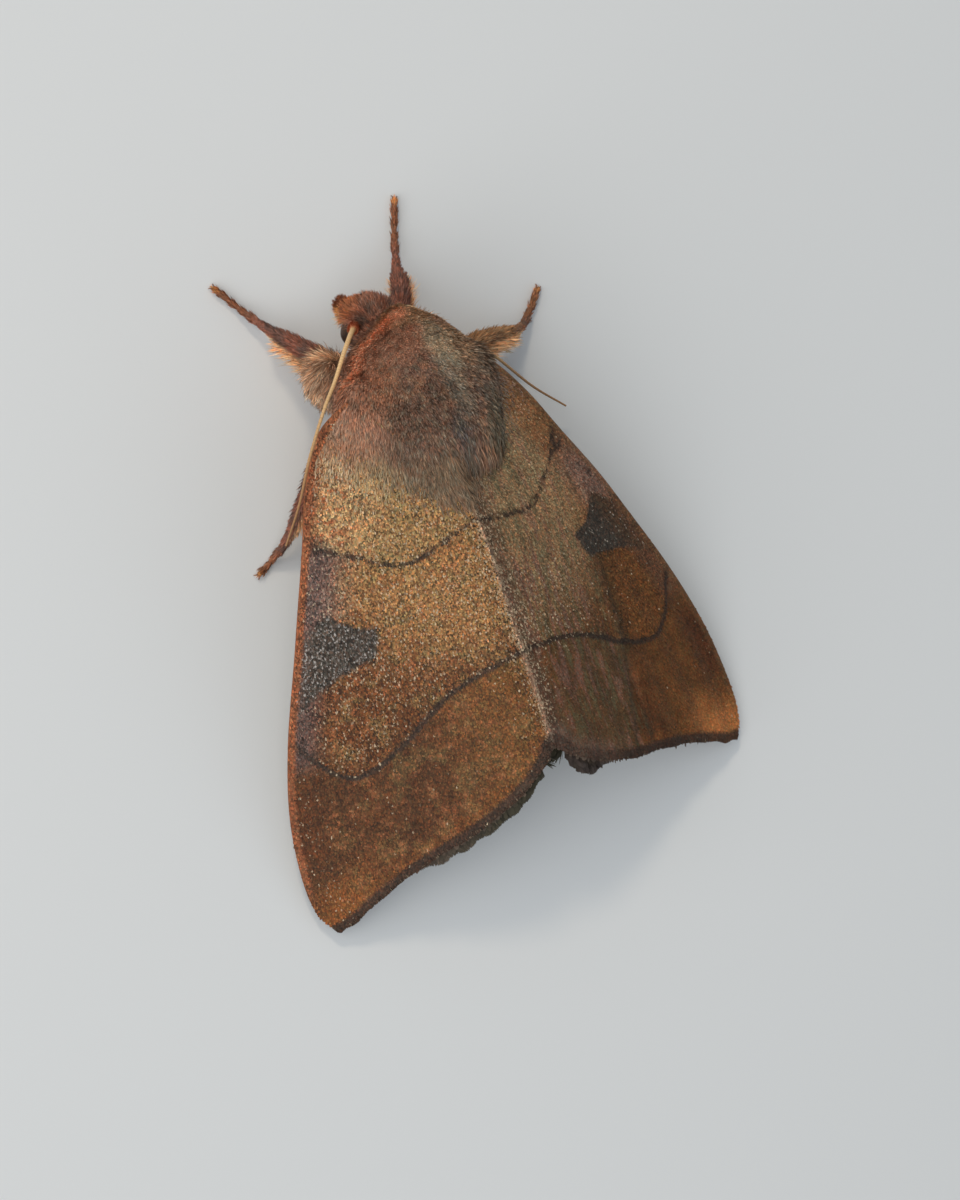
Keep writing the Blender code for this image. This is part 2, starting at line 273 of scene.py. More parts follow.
def write_marks(mesh, marks):
    for name, values in marks.items():
        kind, field = ("FLOAT", "value") if values.ndim == 1 else ("FLOAT_VECTOR", "vector")
        layer = mesh.attributes.new(name, kind, "POINT")
        layer.data.foreach_set(field, values.astype(np.float32).ravel())


def read(items, name, width=1, kind=float):
    """One property of all items of a mesh, in rows of the given width."""
    values = np.empty(len(items) * width, kind)
    items.foreach_get(name, values)
    return values.reshape(-1, width) if width > 1 else values


def write_uv(mesh, uv):
    """The bake map, from one place on it for each vertex."""
    corners = read(mesh.loops, "vertex_index", kind=int)
    layer = mesh.uv_layers.new(name="OFBake")
    layer.uv.foreach_set("vector", uv[corners].astype(np.float32).ravel())


def grid_faces(rows, columns):
    """Quads of a grid of rows + 1 by columns + 1 points."""
    i, k = np.meshgrid(np.arange(rows), np.arange(columns), indexing="ij")
    first = (i * (columns + 1) + k).ravel()
    return np.column_stack((first, first + columns + 1, first + columns + 2, first + 1))


def wing_uv(place):
    """The wing's own plane laid on the bake map."""
    return MAP_EDGE + (place + (1.0, 0.5)) / MAP_SPAN


def membrane(node, edges, side, reach, depth, rows, columns, marks_of=wing_marks):
    """A closed thin plate over the wing's plane, cut where the wings meet."""
    t, s = np.meshgrid(np.linspace(0, reach, rows + 1), np.linspace(0, 1, columns + 1),
                       indexing="ij")
    flat = wing_chart(edges, s, t).reshape(-1, 2)
    points = wing_points(flat, side, depth)
    piece = new_piece(node + "_membrane", points, grid_faces(rows, columns),
                      marks_of(flat, side), (node,))
    mesh = piece.data
    write_uv(mesh, wing_uv(flat))
    bm = bmesh.new()
    bm.from_mesh(mesh)
    mirror = WING_POSES[side][0]
    ridge = Vector(((RIDGE_X + 0.02 * mirror - MIDDLE[0]) * MM, 0, 0))
    everything = bm.verts[:] + bm.edges[:] + bm.faces[:]
    bmesh.ops.bisect_plane(bm, geom=everything, plane_co=ridge, plane_no=(mirror, 0, 0),
                           clear_inner=True)
    bmesh.ops.recalc_face_normals(bm, faces=bm.faces)
    if sum(face.normal.z for face in bm.faces) < 0:
        bmesh.ops.reverse_faces(bm, faces=bm.faces)
    bm.to_mesh(mesh)
    bm.free()
    plate = piece.modifiers.new("plate", "SOLIDIFY")
    plate.thickness = MEMBRANE * MM
    plate.offset = -1.0
    return piece


membranes = [membrane("forewing_" + side, FOREWING, side, FOREWING_REACH, 0.0, 150, 80)
             for side in WING_POSES]


# ---------------------------------------------------------------------------
# The scales' finish. Wing scales are flat chitin plates a tenth of a
# millimetre across, brown by pigment; the shine off their ridges is painted,
# as a cream or silvery highlight on some scales. The same finish covers
# membrane and scales, so that the markings run through both.
# ---------------------------------------------------------------------------
class Wire:
    """An output of a look's node; arithmetic on it adds Math nodes."""

    def __init__(self, look, socket):
        self.look = look
        self.socket = socket

    def maths(self, operation, first, second=0.0):
        return self.look.node("Math", {"operation": operation}, {0: first, 1: second})

    def __add__(self, other):
        return self.maths("ADD", self, other)

    def __radd__(self, other):
        return self.maths("ADD", other, self)

    def __sub__(self, other):
        return self.maths("SUBTRACT", self, other)

    def __rsub__(self, other):
        return self.maths("SUBTRACT", other, self)

    def __mul__(self, other):
        return self.maths("MULTIPLY", self, other)

    def __rmul__(self, other):
        return self.maths("MULTIPLY", other, self)

    def __abs__(self):
        return self.maths("ABSOLUTE", self)


class Look:
    """A material whose nodes are written as expressions."""

    def __init__(self, name, **constants):
        self.material = bpy.data.materials.new(name)
        self.material.use_nodes = True
        self.tree = self.material.node_tree
        self.shader = self.tree.nodes["Principled BSDF"]
        self.colour = None
        self.give(**constants)

    def give(self, **values):
        """Set or link the shader's own sockets, such as Base_Color."""
        for name, value in values.items():
            self.fill(self.shader.inputs[name.replace("_", " ")], value)

    def fill(self, socket, value):
        if isinstance(value, Wire):
            self.tree.links.new(value.socket, socket)
        elif socket.type == "RGBA" and len(value) == 3:
            socket.default_value = (*value, 1.0)
        else:
            socket.default_value = value

    def node(self, kind, settings, inputs, output=0):
        """Any node: its settings are set first, then its sockets."""
        made = self.tree.nodes.new("ShaderNode" + kind)
        for name, value in settings.items():
            setattr(made, name, value)
        for name, value in inputs.items():
            self.fill(made.inputs[name], value)
        return Wire(self, made.outputs[output])

    def mark(self, name, output="Fac"):
        return self.node("Attribute", {"attribute_name": name}, {}, output)

    def step(self, value, start, end):
        return self.node("MapRange", {"interpolation_type": "SMOOTHSTEP"},
                         {0: value, 1: start, 2: end})

    def mix(self, first, second, share, blend="MIX"):
        return self.node("Mix", {"data_type": "RGBA", "blend_type": blend},
                         {0: share, 6: first, 7: second}, 2)

    def noise(self, place, scale, detail=2.0):
        return self.node("TexNoise", {}, {"Vector": place, "Scale": scale, "Detail": detail})

    def paint(self, tone, share, blend="MIX"):
        """Lay a colour over the look's own."""
        self.colour = self.mix(self.colour, tone, share, blend)

    def lighten(self, amount):
        """Make the look's colour lighter or darker, by an amount about 1."""
        self.colour = self.node("VectorMath", {"operation": "SCALE"},
                                {0: self.colour, "Scale": amount})

    def finished(self, roughness, height, distance, strength):
        """The material, once its colour is done, with a fine relief."""
        relief = self.node("Bump", {}, {"Height": height, "Distance": distance,
                                        "Strength": strength})
        self.give(Base_Color=self.colour, Roughness=roughness, Normal=relief)
        return self.material


BASAL = (0.285, 0.180, 0.078)
BASAL_PALE = (0.430, 0.285, 0.145)
BASAL_RUST = (0.330, 0.125, 0.052)
CENTRAL = (0.315, 0.178, 0.073)
MAUVE = (0.240, 0.148, 0.118)
RUSTY = (0.142, 0.056, 0.018)
BEYOND = (0.098, 0.042, 0.016)
TORNUS = (0.190, 0.090, 0.027)
APEX = (0.225, 0.088, 0.024)
WEDGE = (0.104, 0.037, 0.012)
CHARCOAL = (0.058, 0.048, 0.042)
LINE = (0.038, 0.026, 0.021)
COSTAL = (0.260, 0.098, 0.045)
STRIP = (0.112, 0.080, 0.084)
FRINGE = (0.046, 0.030, 0.024)
# painted shade along the right wing's fold and crease
FOLD_SHADE = (0.060, 0.050, 0.024)
BRONZE = (0.168, 0.075, 0.023)
# painted highlights: colours laid over chosen scales in place of their shine
CREAM_HIGHLIGHT = (0.720, 0.570, 0.380)
SILVER_HIGHLIGHT = (0.560, 0.520, 0.490)
WARM = (1.24, 0.91, 0.72)
COOL = (0.91, 1.00, 0.90)
OLIVE_CLOUD = (0.230, 0.172, 0.074)
RUST_CLOUD = (0.290, 0.125, 0.062)
SHADOW = (0.120, 0.052, 0.020)
# drab olive between the right wing's crease and fold, partly painted shade
DULL_AND_SHADE = (0.115, 0.072, 0.034)
RIGHT_ROOT = (0.250, 0.192, 0.104)
GREYED = (0.370, 0.270, 0.172)
RUDDY = (0.175, 0.088, 0.066)
ROSY = (0.240, 0.136, 0.110)
MOSSY = (0.152, 0.138, 0.082)
# painted sheen on the right wing's apex
RIGHT_APEX_SHEEN = (0.530, 0.228, 0.080)
RIGHT_SHOULDER = (0.270, 0.135, 0.060)
RIDGE_DARK = (0.105, 0.062, 0.048)
RIDGE_PALE = (0.560, 0.390, 0.310)
SMUDGE = (0.090, 0.054, 0.032)
RIGHT_EDGE = (0.190, 0.105, 0.052)
# painted sheen on the right wing's inner corner
CORNER_SHEEN = (0.165, 0.118, 0.108)
UNDERSIDE = (0.17, 0.12, 0.085)
RELIEF = 0.00003         # depth of a scale's own relief, in metres


def forewing_look():
    look = Look("wing_scales", Specular_IOR_Level=0.3)
    step, mix, paint = look.step, look.mix, look.paint
    noise, mark = look.noise, look.mark
    place = mark("place", "Vector")
    broad = noise(place, 0.42)
    cloud = noise(place, 1.3, 3.0)
    grain = noise(place, 7.0, 3.0)
    blotch = noise(place, 2.6, 2.0)
    shade, tint, right = mark("shade"), mark("tint"), mark("right")
    y = look.node("SeparateXYZ", {}, {0: place}, 1)
    ragged = 0.34 * (grain - 0.5) + 0.30 * (cloud - 0.5)
    inner_line = mark("inner_line") + ragged + 0.3 * (blotch - 0.5)
    outer_line = mark("outer_line") + 0.18 * (grain - 0.5) + 0.24 * (cloud - 0.5)
    patch = mark("patch") + 0.5 * ragged
    rim, costa, ridge = mark("rim"), mark("costa"), mark("ridge")

    # The ground colour, from root to outer margin.
    toward_costa = step(13.4 - y + 0.8 * (ridge - 4.0) + 2.0 * (broad - 0.5), 0.0, 4.6)
    mottled = mix(CENTRAL, RUSTY, step(cloud, 0.50, 0.66) * 0.55)
    look.colour = mix(mottled, RUSTY, toward_costa)
    paint(MAUVE, step(costa, 3.0, 1.0) * step(y, 12.4, 13.6))
    basal = mix(BASAL, BASAL_PALE, step(costa, 4.6, 1.6))
    basal = mix(basal, BASAL_RUST, step(blotch, 0.50, 0.60) * step(costa, 3.4, 0.9))
    paint(basal, step(inner_line, -0.12, 0.12))
    beyond = mix(BEYOND, RUSTY, step(broad, 0.42, 0.62) * 0.6)
    beyond = mix(beyond, TORNUS, step(ridge, 5.0, 0.8) * 0.9)
    near_apex = step(rim, 2.8, 0.9) * step(costa, 4.5, 1.5)
    beyond = mix(beyond, APEX, near_apex)
    beyond = mix(beyond, APEX, step(rim, 1.3, 0.6) * 0.5)
    wedge = step(costa, 2.1, 0.6) * step(y, 2.4, 3.8) * step(y, 7.4, 5.8)
    beyond = mix(beyond, WEDGE, wedge * 0.8)
    paint(beyond, step(outer_line, 0.12, -0.12))

    # Mottling: olive-yellow clouds, and dark ones drawn out along the veins.
    drawn_out = look.node("VectorMath", {"operation": "MULTIPLY"}, {0: place, 1: (1.0, 0.14, 1.0)})
    streaky = noise(drawn_out, 3.2, 3.0)
    olive = step(noise(place, 0.85, 3.0), 0.50, 0.62) * step(costa, 1.2, 2.6)
    olive = olive * (0.28 + 0.22 * step(outer_line, -0.1, 0.1)) * (1.0 - right)
    paint(OLIVE_CLOUD, olive)
    rust = step(blotch + 0.4 * (broad - 0.5), 0.53, 0.63) * step(costa, 0.9, 1.8)
    paint(RUST_CLOUD, rust * 0.38 * (1.0 - right))
    darker = step(outer_line, 1.9, 0.2) * step(outer_line, -0.1, 0.1) * (1.0 - right)
    paint(SHADOW, darker * step(cloud, 0.35, 0.6) * 0.9)
    look.lighten(1.0 + (0.35 + 1.5 * right) * (streaky - 0.5))

    # The right wing: smooth bronze outside the fold, drab olive inside it, partly painted shade;
    # painted shade along fold and crease, and a painted sheen on the apex.
    outside = step(y, 11.6, 10.4) * step(mark("fold"), 0.2, 0.8) * right
    bronze = outside * step(costa, 5.5, 4.6) * (1.0 - wedge)
    paint(BRONZE, bronze * 0.7)
    # Partly painted shade: the band between crease and fold is a drab olive, darkened as shade.
    dull_and_shade = mark("between") * step(y, 12.8, 9.6)
    paint(DULL_AND_SHADE, dull_and_shade * (0.35 + 0.4 * step(outer_line, 0.2, -0.2)))
    paint(RIGHT_ROOT, right * step(inner_line, 0.0, 0.3) * 0.7)
    greyed = right * step(ridge, 5.6, 4.2) * step(outer_line, -0.1, 0.1)
    paint(GREYED, greyed * step(y, 8.0, 13.0) * 0.6)
    ruddy = step(ridge, 3.4, 2.0) * step(streaky, 0.46, 0.58) * step(y, 14.4, 12.6)
    paint(RUDDY, right * ruddy * 0.6)
    inward = right * step(ridge, 5.6, 4.6)
    paint(ROSY, inward * step(streaky, 0.53, 0.60) * 0.55)
    paint(MOSSY, inward * step(streaky, 0.47, 0.40) * 0.55)
    # Painted sheen: the right wing's apex is lightened where the light glances off it at a low
    # angle.
    paint(RIGHT_APEX_SHEEN, right * near_apex * 0.85)
    shoulder = step(costa, 2.4, 1.3) * step(y, 14.8, 16.2)
    paint(RIGHT_SHOULDER, right * shoulder * 0.8)
    # Painted shade: dark olive lines along the right wing's fold and crease.
    fold_shade = step(mark("fold") + 1.2 * (blotch - 0.5), 0.75, 0.0)
    fold_shade = fold_shade * step(y, 12.2, 11.2) * (0.35 + 0.65 * step(y, 6.2, 7.2))
    fold_shade = fold_shade + 0.5 * step(mark("crease") + 0.4 * (blotch - 0.5), 0.35, 0.0)
    paint(FOLD_SHADE, fold_shade * 0.45)
    paint(RIDGE_DARK, step(ridge, 1.3, 0.3) * right * 0.75)
    paint(RIDGE_PALE, step(ridge, 0.12, 0.04) * 0.7)

    # Dark lines, patch, costal strip and edge, a painted sheen on the right wing's inner corner,
    # and the fringe.
    strip = step(costa, 1.9, 0.7) * step(y, 17.2, 15.8) * step(y, 6.8, 8.0)
    paint(STRIP, strip * (0.8 - 0.5 * right))
    smudge = mix(CHARCOAL, SMUDGE, step(costa, 1.9, 0.9) * right)
    paint(smudge, step(patch, 0.10, -0.10) * (1.0 - 0.45 * step(costa, 0.9, 0.4)))
    at_costa = step(costa, 1.7, 0.5)
    broken = 0.35 + 0.65 * step(blotch, 0.40, 0.55)
    for line, width, strength in ((inner_line, 0.12 + 0.26 * at_costa, broken),
                                  (outer_line, 0.13, 0.80 + 0.20 * broken)):
        dark = 1 - step(abs(line) - width, -0.07, 0.05)
        paint(LINE, dark * strength * 0.92)
    edge = step(costa, 0.42, 0.22) + 0.8 * step(costa, 0.9, 0.4) * step(y, 15.8, 18.0)
    edge_colour = mix(COSTAL, RIGHT_EDGE, right)
    paint(edge_colour, edge * step(y, 0.5, 3.0) * (1 - 0.5 * right))
    # Painted sheen: grey-mauve over the right wing's inner corner, with the fringe painted less
    # dark there.
    corner_sheen = right * step(rim, 1.3, 0.5) * step(ridge, 4.2, 2.2)
    paint(CORNER_SHEEN, corner_sheen * 0.6)
    paint(FRINGE, step(rim, 0.66, 0.44) * (0.92 - 0.35 * corner_sheen))

    # Each scale has its own hue and shade, and some are painted cream or silvery as a highlight.
    paint(mix(WARM, COOL, step(tint, 0.9, -0.9)), 1.0, "MULTIPLY")
    inside = step(outer_line, -0.2, 0.2)
    light = 1.0 + (0.82 + 0.34 * inside - 0.50 * right) * shade
    light = light + 1.0 * (cloud - 0.5) + 0.9 * (grain - 0.5)
    light = light - 0.22 * step(ridge, 1.1, 0.3) * (1.0 - right)
    look.lighten(light)
    painted_glint = mark("painted_glint")
    # Painted highlight: chosen scales take a cream colour, silvery in the dark patch.
    painted_highlight = mix(CREAM_HIGHLIGHT, SILVER_HIGHLIGHT, step(patch, 0.1, -0.1) * (1.0 - 0.4 * right))
    paint(painted_highlight, painted_glint * 0.8)
    paint(UNDERSIDE, mark("under") * 0.8)
    return look.finished(0.58 - 0.25 * painted_glint, grain, RELIEF, 0.4)


scale_look = forewing_look()
for piece in membranes:
    piece.data.materials.append(scale_look)


# ---------------------------------------------------------------------------
# Forewing scales. They lie in overlapping rows like roof tiles, rooted
# toward the wing's base and pointing to its outer edge, each tilted a
# little its own way; larger and plainer ones cover the underside.
# ---------------------------------------------------------------------------
FLOOR_GAP = 0.004        # no scale, hair or claw goes into the floor
BLADE_MAP = (0.0015, 0.003)      # half width and length of a tuft's patch on the bake map


def blades(name, roots, lie, up, length, width, stations, marks, uv, look, twist, seed):
    """Many small tapered plates, joined in one mesh.

    Each station is (share of length, share of half width, rise as a share of
    length); the last one is the tip.
    """
    lie = unit(lie)
    up = unit(up - lie * (up * lie).sum(1, keepdims=True))
    across = np.cross(up, lie)
    draw = np.random.default_rng(seed)
    roll = draw.normal(0.0, 1.0, len(roots))[:, None] * twist
    across = across * np.cos(roll) + up * np.sin(roll)
    count, last = len(roots), len(stations) - 1
    rows, uvs, shares = [], [], []
    for k, (share, half, rise) in enumerate(stations):
        centre = roots + (lie * share + up * rise) * length[:, None]
        offset = across * (width * half)[:, None]
        for sign in ((-1, 1) if k < last else (0,)):
            rows.append(centre + sign * offset)
            uvs.append(uv + np.array((BLADE_MAP[0] * sign * 2 * half, BLADE_MAP[1] * share)))
            shares.append(np.full(count, share))
    per = len(rows)
    points = np.stack(rows, 1).reshape(-1, 3)
    points[:, 2] = np.maximum(points[:, 2], FLOOR_GAP)
    faces = []
    for k in range(last - 1):
        a = 2 * k
        faces += [(a, a + 1, a + 3), (a, a + 3, a + 2)]
    faces.append((per - 3, per - 2, per - 1))
    faces = (np.arange(count)[:, None, None] * per + np.array(faces)).reshape(-1, 3)
    spread = {key: np.repeat(values, per, axis=0) for key, values in marks.items()}
    spread["tip"] = np.stack(shares, 1).ravel()
    piece = new_piece(name, points, faces, spread, look=look)
    write_uv(piece.data, np.stack(uvs, 1).reshape(-1, 2))
    return piece


SCALE = [(0.0, 0.6, -0.05), (0.74, 1.0, 0.13), (1.0, 0.0, 0.15)]
FINE = ((0.053, 0.060), (0.135, 0.076))  # gaps across and along, then length and width
COARSE = ((0.15, 0.17), (0.34, 0.19))


def wing_lattice(edges, reach, gap_x, gap_y, draw):
    """Jittered rows of places over the wing, offset like bricks."""
    inner, costa, root, _ = edges
    t = np.linspace(0, reach, 60)
    rim = wing_chart(edges, np.linspace(0, 1, 60), np.full(60, reach))
    outline = np.vstack((dense(root), curve_at(costa, t), rim[::-1], curve_at(inner, t)[::-1]))
    low, high = outline.min(0), outline.max(0)
    x, y = np.meshgrid(np.arange(low[0], high[0], gap_x), np.arange(low[1], high[1], gap_y))
    x = x + np.where(np.arange(len(x)) % 2, 0.5 * gap_x, 0.0)[:, None]
    place = np.column_stack((x.ravel(), y.ravel()))
    place += draw.normal(0, 0.28, place.shape) * (gap_x, gap_y)
    return place[inside(place, outline)]


def wing_lie(place, side, depth=0.0, under=False):
    """Roots, outward direction and normal of the wing's face at each place."""
    step = 0.02
    root = wing_points(place, side, depth)
    run = np.column_stack((0.10 * (place[:, 0] - 3.0) / 9.0, np.full(len(place), -1.0)))
    ahead = wing_points(place + step * run, side, depth) - root
    across = wing_points(place + (step, 0), side, depth) - root
    up = np.cross(ahead, across)
    up *= np.sign(up[:, 2:]) * (-1 if under else 1)
    return root, unit(ahead), unit(up)


def wing_scales(name, edges, side, reach, depth, weave, under, look, seed, marks_of=wing_marks):
    gaps, size = weave
    draw = np.random.default_rng(seed)
    place = wing_lattice(edges, reach, *gaps, draw)
    root, ahead, up = wing_lie(place, side, depth, under)
    keep = off_ridge(root, side)
    if marks_of is wing_marks:
        keep &= wing_marks(place, side)["costa"] > 0.04
    place, root, ahead, up = place[keep], root[keep], ahead[keep], up[keep]
    count = len(place)
    marks = marks_of(place, side)
    marks["shade"] = np.clip(draw.normal(0, 0.55, count), -0.5, 1.8)
    marks["tint"] = draw.uniform(-1, 1, count)
    marks["under"] = np.full(count, 1.0 if under else 0.0)
    marks["painted_glint"] = np.zeros(count) if under else painted_glints(marks, draw)
    ahead = ahead + 0.16 * draw.normal(0, 1, (count, 1)) * np.cross(up, ahead)
    inland = smooth(marks["rim"], 0.0, 0.5)[:, None] if under else 1.0
    ahead = ahead + 0.12 * np.abs(draw.normal(0, 1, (count, 1))) * up * inland
    length = size[0] * draw.uniform(0.8, 1.25, count)
    width = size[1] / 2 * draw.uniform(0.8, 1.2, count)
    return blades(name, root, ahead, up, length, width, SCALE, marks, wing_uv(place),
                  look, 0.16, seed + 50)


def painted_glints(marks, draw):
    """Which scales get a painted highlight: many toward the root and along the ridge."""
    count = len(marks["rim"])
    if "right" not in marks:
        return np.zeros(count)
    right, ridge, y = marks["right"] > 0, marks["ridge"], marks["place"][:, 1]
    near_costa = smooth(marks["costa"], 2.2, 0.9)
    chance = 0.13 - 0.06 * smooth(marks["outer_line"], 1.4, 0.4) - 0.06 * near_costa
    chance = np.where(marks["outer_line"] < 0, 0.004 + 0.040 * near_costa, chance)
    chance = np.where(marks["inner_line"] > 0.2, 0.13, chance)
    chance = np.where(marks["patch"] < 0, 0.25, chance)
    chance = np.where(right, 0.12 * chance, 0.85 * chance) * smooth(marks["costa"], 0.25, 0.45)
    # Painted highlight: more of it on the right wing's inner part and along the ridge.
    inner_glitter = right * smooth(ridge, 4.6, 3.0) * smooth(y, 7.6, 9.4) * smooth(y, 13.6, 11.8)
    ridge_glitter = np.where(right, 0.32, 0.13) * np.exp(-(ridge / 0.7) ** 2) * smooth(y, 5.4, 7.4)
    chance = chance + 0.09 * inner_glitter + ridge_glitter
    strength = 0.12 + 0.88 * draw.random(count) ** 1.4
    return np.where(draw.random(count) < chance, strength, 0.0)


for number, side in enumerate(WING_POSES):
    wing_scales("forewing_" + side + "_scales", FOREWING, side, FOREWING_REACH, -CLEAR, FINE,
                False, scale_look, 11 + number)
    wing_scales("forewing_" + side + "_under_scales", FOREWING, side, FOREWING_REACH,
                MEMBRANE + CLEAR, COARSE, True, scale_look, 21 + number)


# ---------------------------------------------------------------------------
# Fringes of the forewings: three rows of hair-like scales rooted on the rim,
# dark along the outer margin, a little scalloped between the veins, and
# short and pale where the two wings meet over the back, most of those with a
# painted highlight.
# ---------------------------------------------------------------------------
HAIR_SCALE = [(0.0, 0.7, 0.0), (0.45, 1.0, 0.03), (0.85, 0.8, 0.02), (1.0, 0.0, 0.0)]


def fringe(name, edges, side, reach, depth, count, marks_of, look, seed):
    draw = np.random.default_rng(seed)
    s = draw.uniform(0.005, 1.0, count)
    start = reach - draw.choice((0.0, 0.004, 0.009), count)
    root_place = wing_chart(edges, s, start)
    tip_place = wing_chart(edges, s, np.ones(count))
    outward = tip_place - root_place
    far = np.linalg.norm(outward, axis=1) * (1 + 0.35 * smooth(s, 0.12, 0.0))
    fan = draw.normal(0, 0.09, count)
    turned = np.column_stack((outward[:, 0] - fan * outward[:, 1],
                              outward[:, 1] + fan * outward[:, 0]))
    root, _, up = wing_lie(root_place, side, depth + draw.uniform(0, 0.06, count))
    end = wing_points(root_place + turned, side, depth)
    lie = end - root
    scallop = 0.90 + 0.10 * np.cos(2 * math.pi * VEINS * s)
    length = far * scallop * draw.uniform(0.72, 1.04, count)
    keep = off_ridge(root, side)
    marks = {key: values[keep] for key, values in marks_of(root_place, side).items()}
    marks["shade"] = draw.normal(0, 0.55, count)[keep]
    marks["tint"] = draw.uniform(-1, 1, count)[keep]
    marks["under"] = np.zeros(keep.sum())
    # a few fringe scales carry a painted highlight
    marks["painted_glint"] = np.where(draw.random(count) < 0.04, 0.4, 0.0)[keep]
    width = draw.uniform(0.018, 0.034, count)
    return blades(name, root[keep], lie[keep], up[keep], length[keep], width[keep],
                  HAIR_SCALE, marks, wing_uv(root_place)[keep], look, 0.25, seed + 50)


def ridge_fringe(name, side, count, seed):
    """Short pale scales along the inner margin, pointing back and inward; most carry a painted
    highlight.
    """
    draw = np.random.default_rng(seed)
    mirror = WING_POSES[side][0]
    y = draw.uniform(5.6, 17.2, count)
    place = np.column_stack((edge_x(INNER_MARGIN, y), y))
    for _ in range(4):           # step by step out to the line where the wings meet
        over = wing_points(place, side)
        place[:, 0] += (RIDGE_X + 0.10 * mirror - over[:, 0]) * mirror
    place[:, 0] += np.abs(draw.normal(0, 0.07, count))
    root, ahead, up = wing_lie(place, side, -0.01)
    lean = draw.uniform(0.1, 0.7, (count, 1))
    lie = ahead + lean * (-mirror, 0, 0) + 0.15 * up * draw.random((count, 1))
    marks = wing_marks(place, side)
    marks["shade"] = draw.normal(0.1, 0.5, count)
    marks["tint"] = draw.uniform(-0.2, 1, count)
    marks["under"] = np.zeros(count)
    marks["painted_glint"] = np.where(draw.random(count) < 0.6, draw.uniform(0.4, 1.0, count), 0.2)
    return blades(name, root, lie, up, draw.uniform(0.12, 0.24, count),
                  draw.uniform(0.015, 0.028, count), HAIR_SCALE, marks, wing_uv(place),
                  scale_look, 0.3, seed + 50)


for number, side in enumerate(WING_POSES):
    fringe("forewing_" + side + "_fringe", FOREWING, side, FOREWING_REACH, 0.0, 3600,
           wing_marks, scale_look, 31 + number)
    ridge_fringe("forewing_" + side + "_ridge_fringe", side, 2400, 41 + number)


# ---------------------------------------------------------------------------
# Hindwings, folded away under the forewings. They are thinner scaled and
# grey-tan, and only their dark olive fringe shows beyond the forewings.
# ---------------------------------------------------------------------------
HIND_COSTA = [(3.0, 19.0), (5.6, 15.5), (7.9, 10.5), (9.0, 6.0), (8.6, 1.5)]
HIND_INNER = [(0.9, 18.0), (0.9, 12.0), (0.9, 7.0), (1.0, 4.0)]
HIND_OUTER = {
    "left": [(1.0, 4.0), (2.4, 2.75), (4.5, 1.85), (6.6, 1.3), (8.6, 1.5)],
    "right": [(1.0, 4.0), (1.9, 2.95), (4.3, 2.7), (6.6, 2.2), (8.6, 1.5)],
}
HIND_ROOT = [(0.9, 18.0), (2.0, 18.7), (3.0, 19.0)]
HIND_DEPTH = 0.55
HIND_REACH = 0.965


def hind_marks(place, side):
    count = len(place)
    return {"place": np.column_stack((place, np.full(count, FAR))),
            "rim": line_distance(place, dense(HIND_OUTER[side])),
            "dusky": np.full(count, float(side == "right"))}


def hindwing_look():
    look = Look("hindwing_scales", Roughness=0.6, Specular_IOR_Level=0.35)
    place = look.mark("place", "Vector")
    cloud = look.noise(place, 1.1, 3.0)
    grain = look.noise(place, 7.0, 3.0)
    rim = look.mark("rim")
    look.colour = look.mix((0.24, 0.185, 0.13), (0.15, 0.11, 0.08), look.step(rim, 4.0, 1.0))
    dark = look.mix((0.056, 0.048, 0.027), (0.100, 0.074, 0.062),
                    look.mark("dusky") * look.step(rim, 0.10, 0.25))
    look.paint(dark, look.step(rim, 0.75, 0.45))
    light = 1.0 + 0.4 * look.mark("shade") + 0.4 * (cloud - 0.5) + 0.4 * (grain - 0.5)
    look.lighten(light)
    return look.finished(0.68 - 0.15 * cloud, grain, RELIEF, 0.4)


def inner_hair(name, side, count, seed):
    """Dark hairs off the hindwing's inner margin, in the notch of the forewings."""
    draw = np.random.default_rng(seed)
    y = 4.7 + 1.4 * draw.random(count) ** 0.8
    place = np.column_stack((edge_x(HIND_INNER, y) + draw.uniform(-0.02, 0.10, count), y))
    root, ahead, up = wing_lie(place, side, HIND_DEPTH + draw.uniform(0, 0.08, count))
    lean = draw.uniform(0.5, 2.6, (count, 1))
    lie = ahead + lean * (-WING_POSES[side][0], 0, 0) + 0.12 * draw.normal(0, 1, (count, 1)) * up
    marks = hind_marks(place, side)
    marks["rim"] = np.zeros(count)
    marks["shade"] = draw.normal(0, 0.55, count)
    marks["tint"] = draw.uniform(-1, 1, count)
    return blades(name, root, lie, up, draw.uniform(0.35, 1.0, count),
                  draw.uniform(0.018, 0.034, count), HAIR_SCALE, marks, wing_uv(place),
                  hind_look, 0.3, seed + 50)


hind_look = hindwing_look()
for number, side in enumerate(WING_POSES):
    hindwing = (HIND_INNER, HIND_COSTA, HIND_ROOT, HIND_OUTER[side])
    piece = membrane("hindwing_" + side, hindwing, side, HIND_REACH, HIND_DEPTH, 90, 48,
                     hind_marks)
    piece.data.materials.append(hind_look)
    for face, under in (("upper", False), ("under", True)):
        level = HIND_DEPTH + (MEMBRANE + CLEAR if under else -CLEAR)
        wing_scales("hindwing_%s_%s_scales" % (side, face), hindwing, side, HIND_REACH, level,
                    COARSE, under, hind_look, 61 + 2 * number + under, hind_marks)
    fringe("hindwing_" + side + "_fringe", hindwing, side, HIND_REACH, HIND_DEPTH, 2600,
           hind_marks, hind_look, 71 + number)
    inner_hair("hindwing_" + side + "_inner_hair", side, 700, 75 + number)


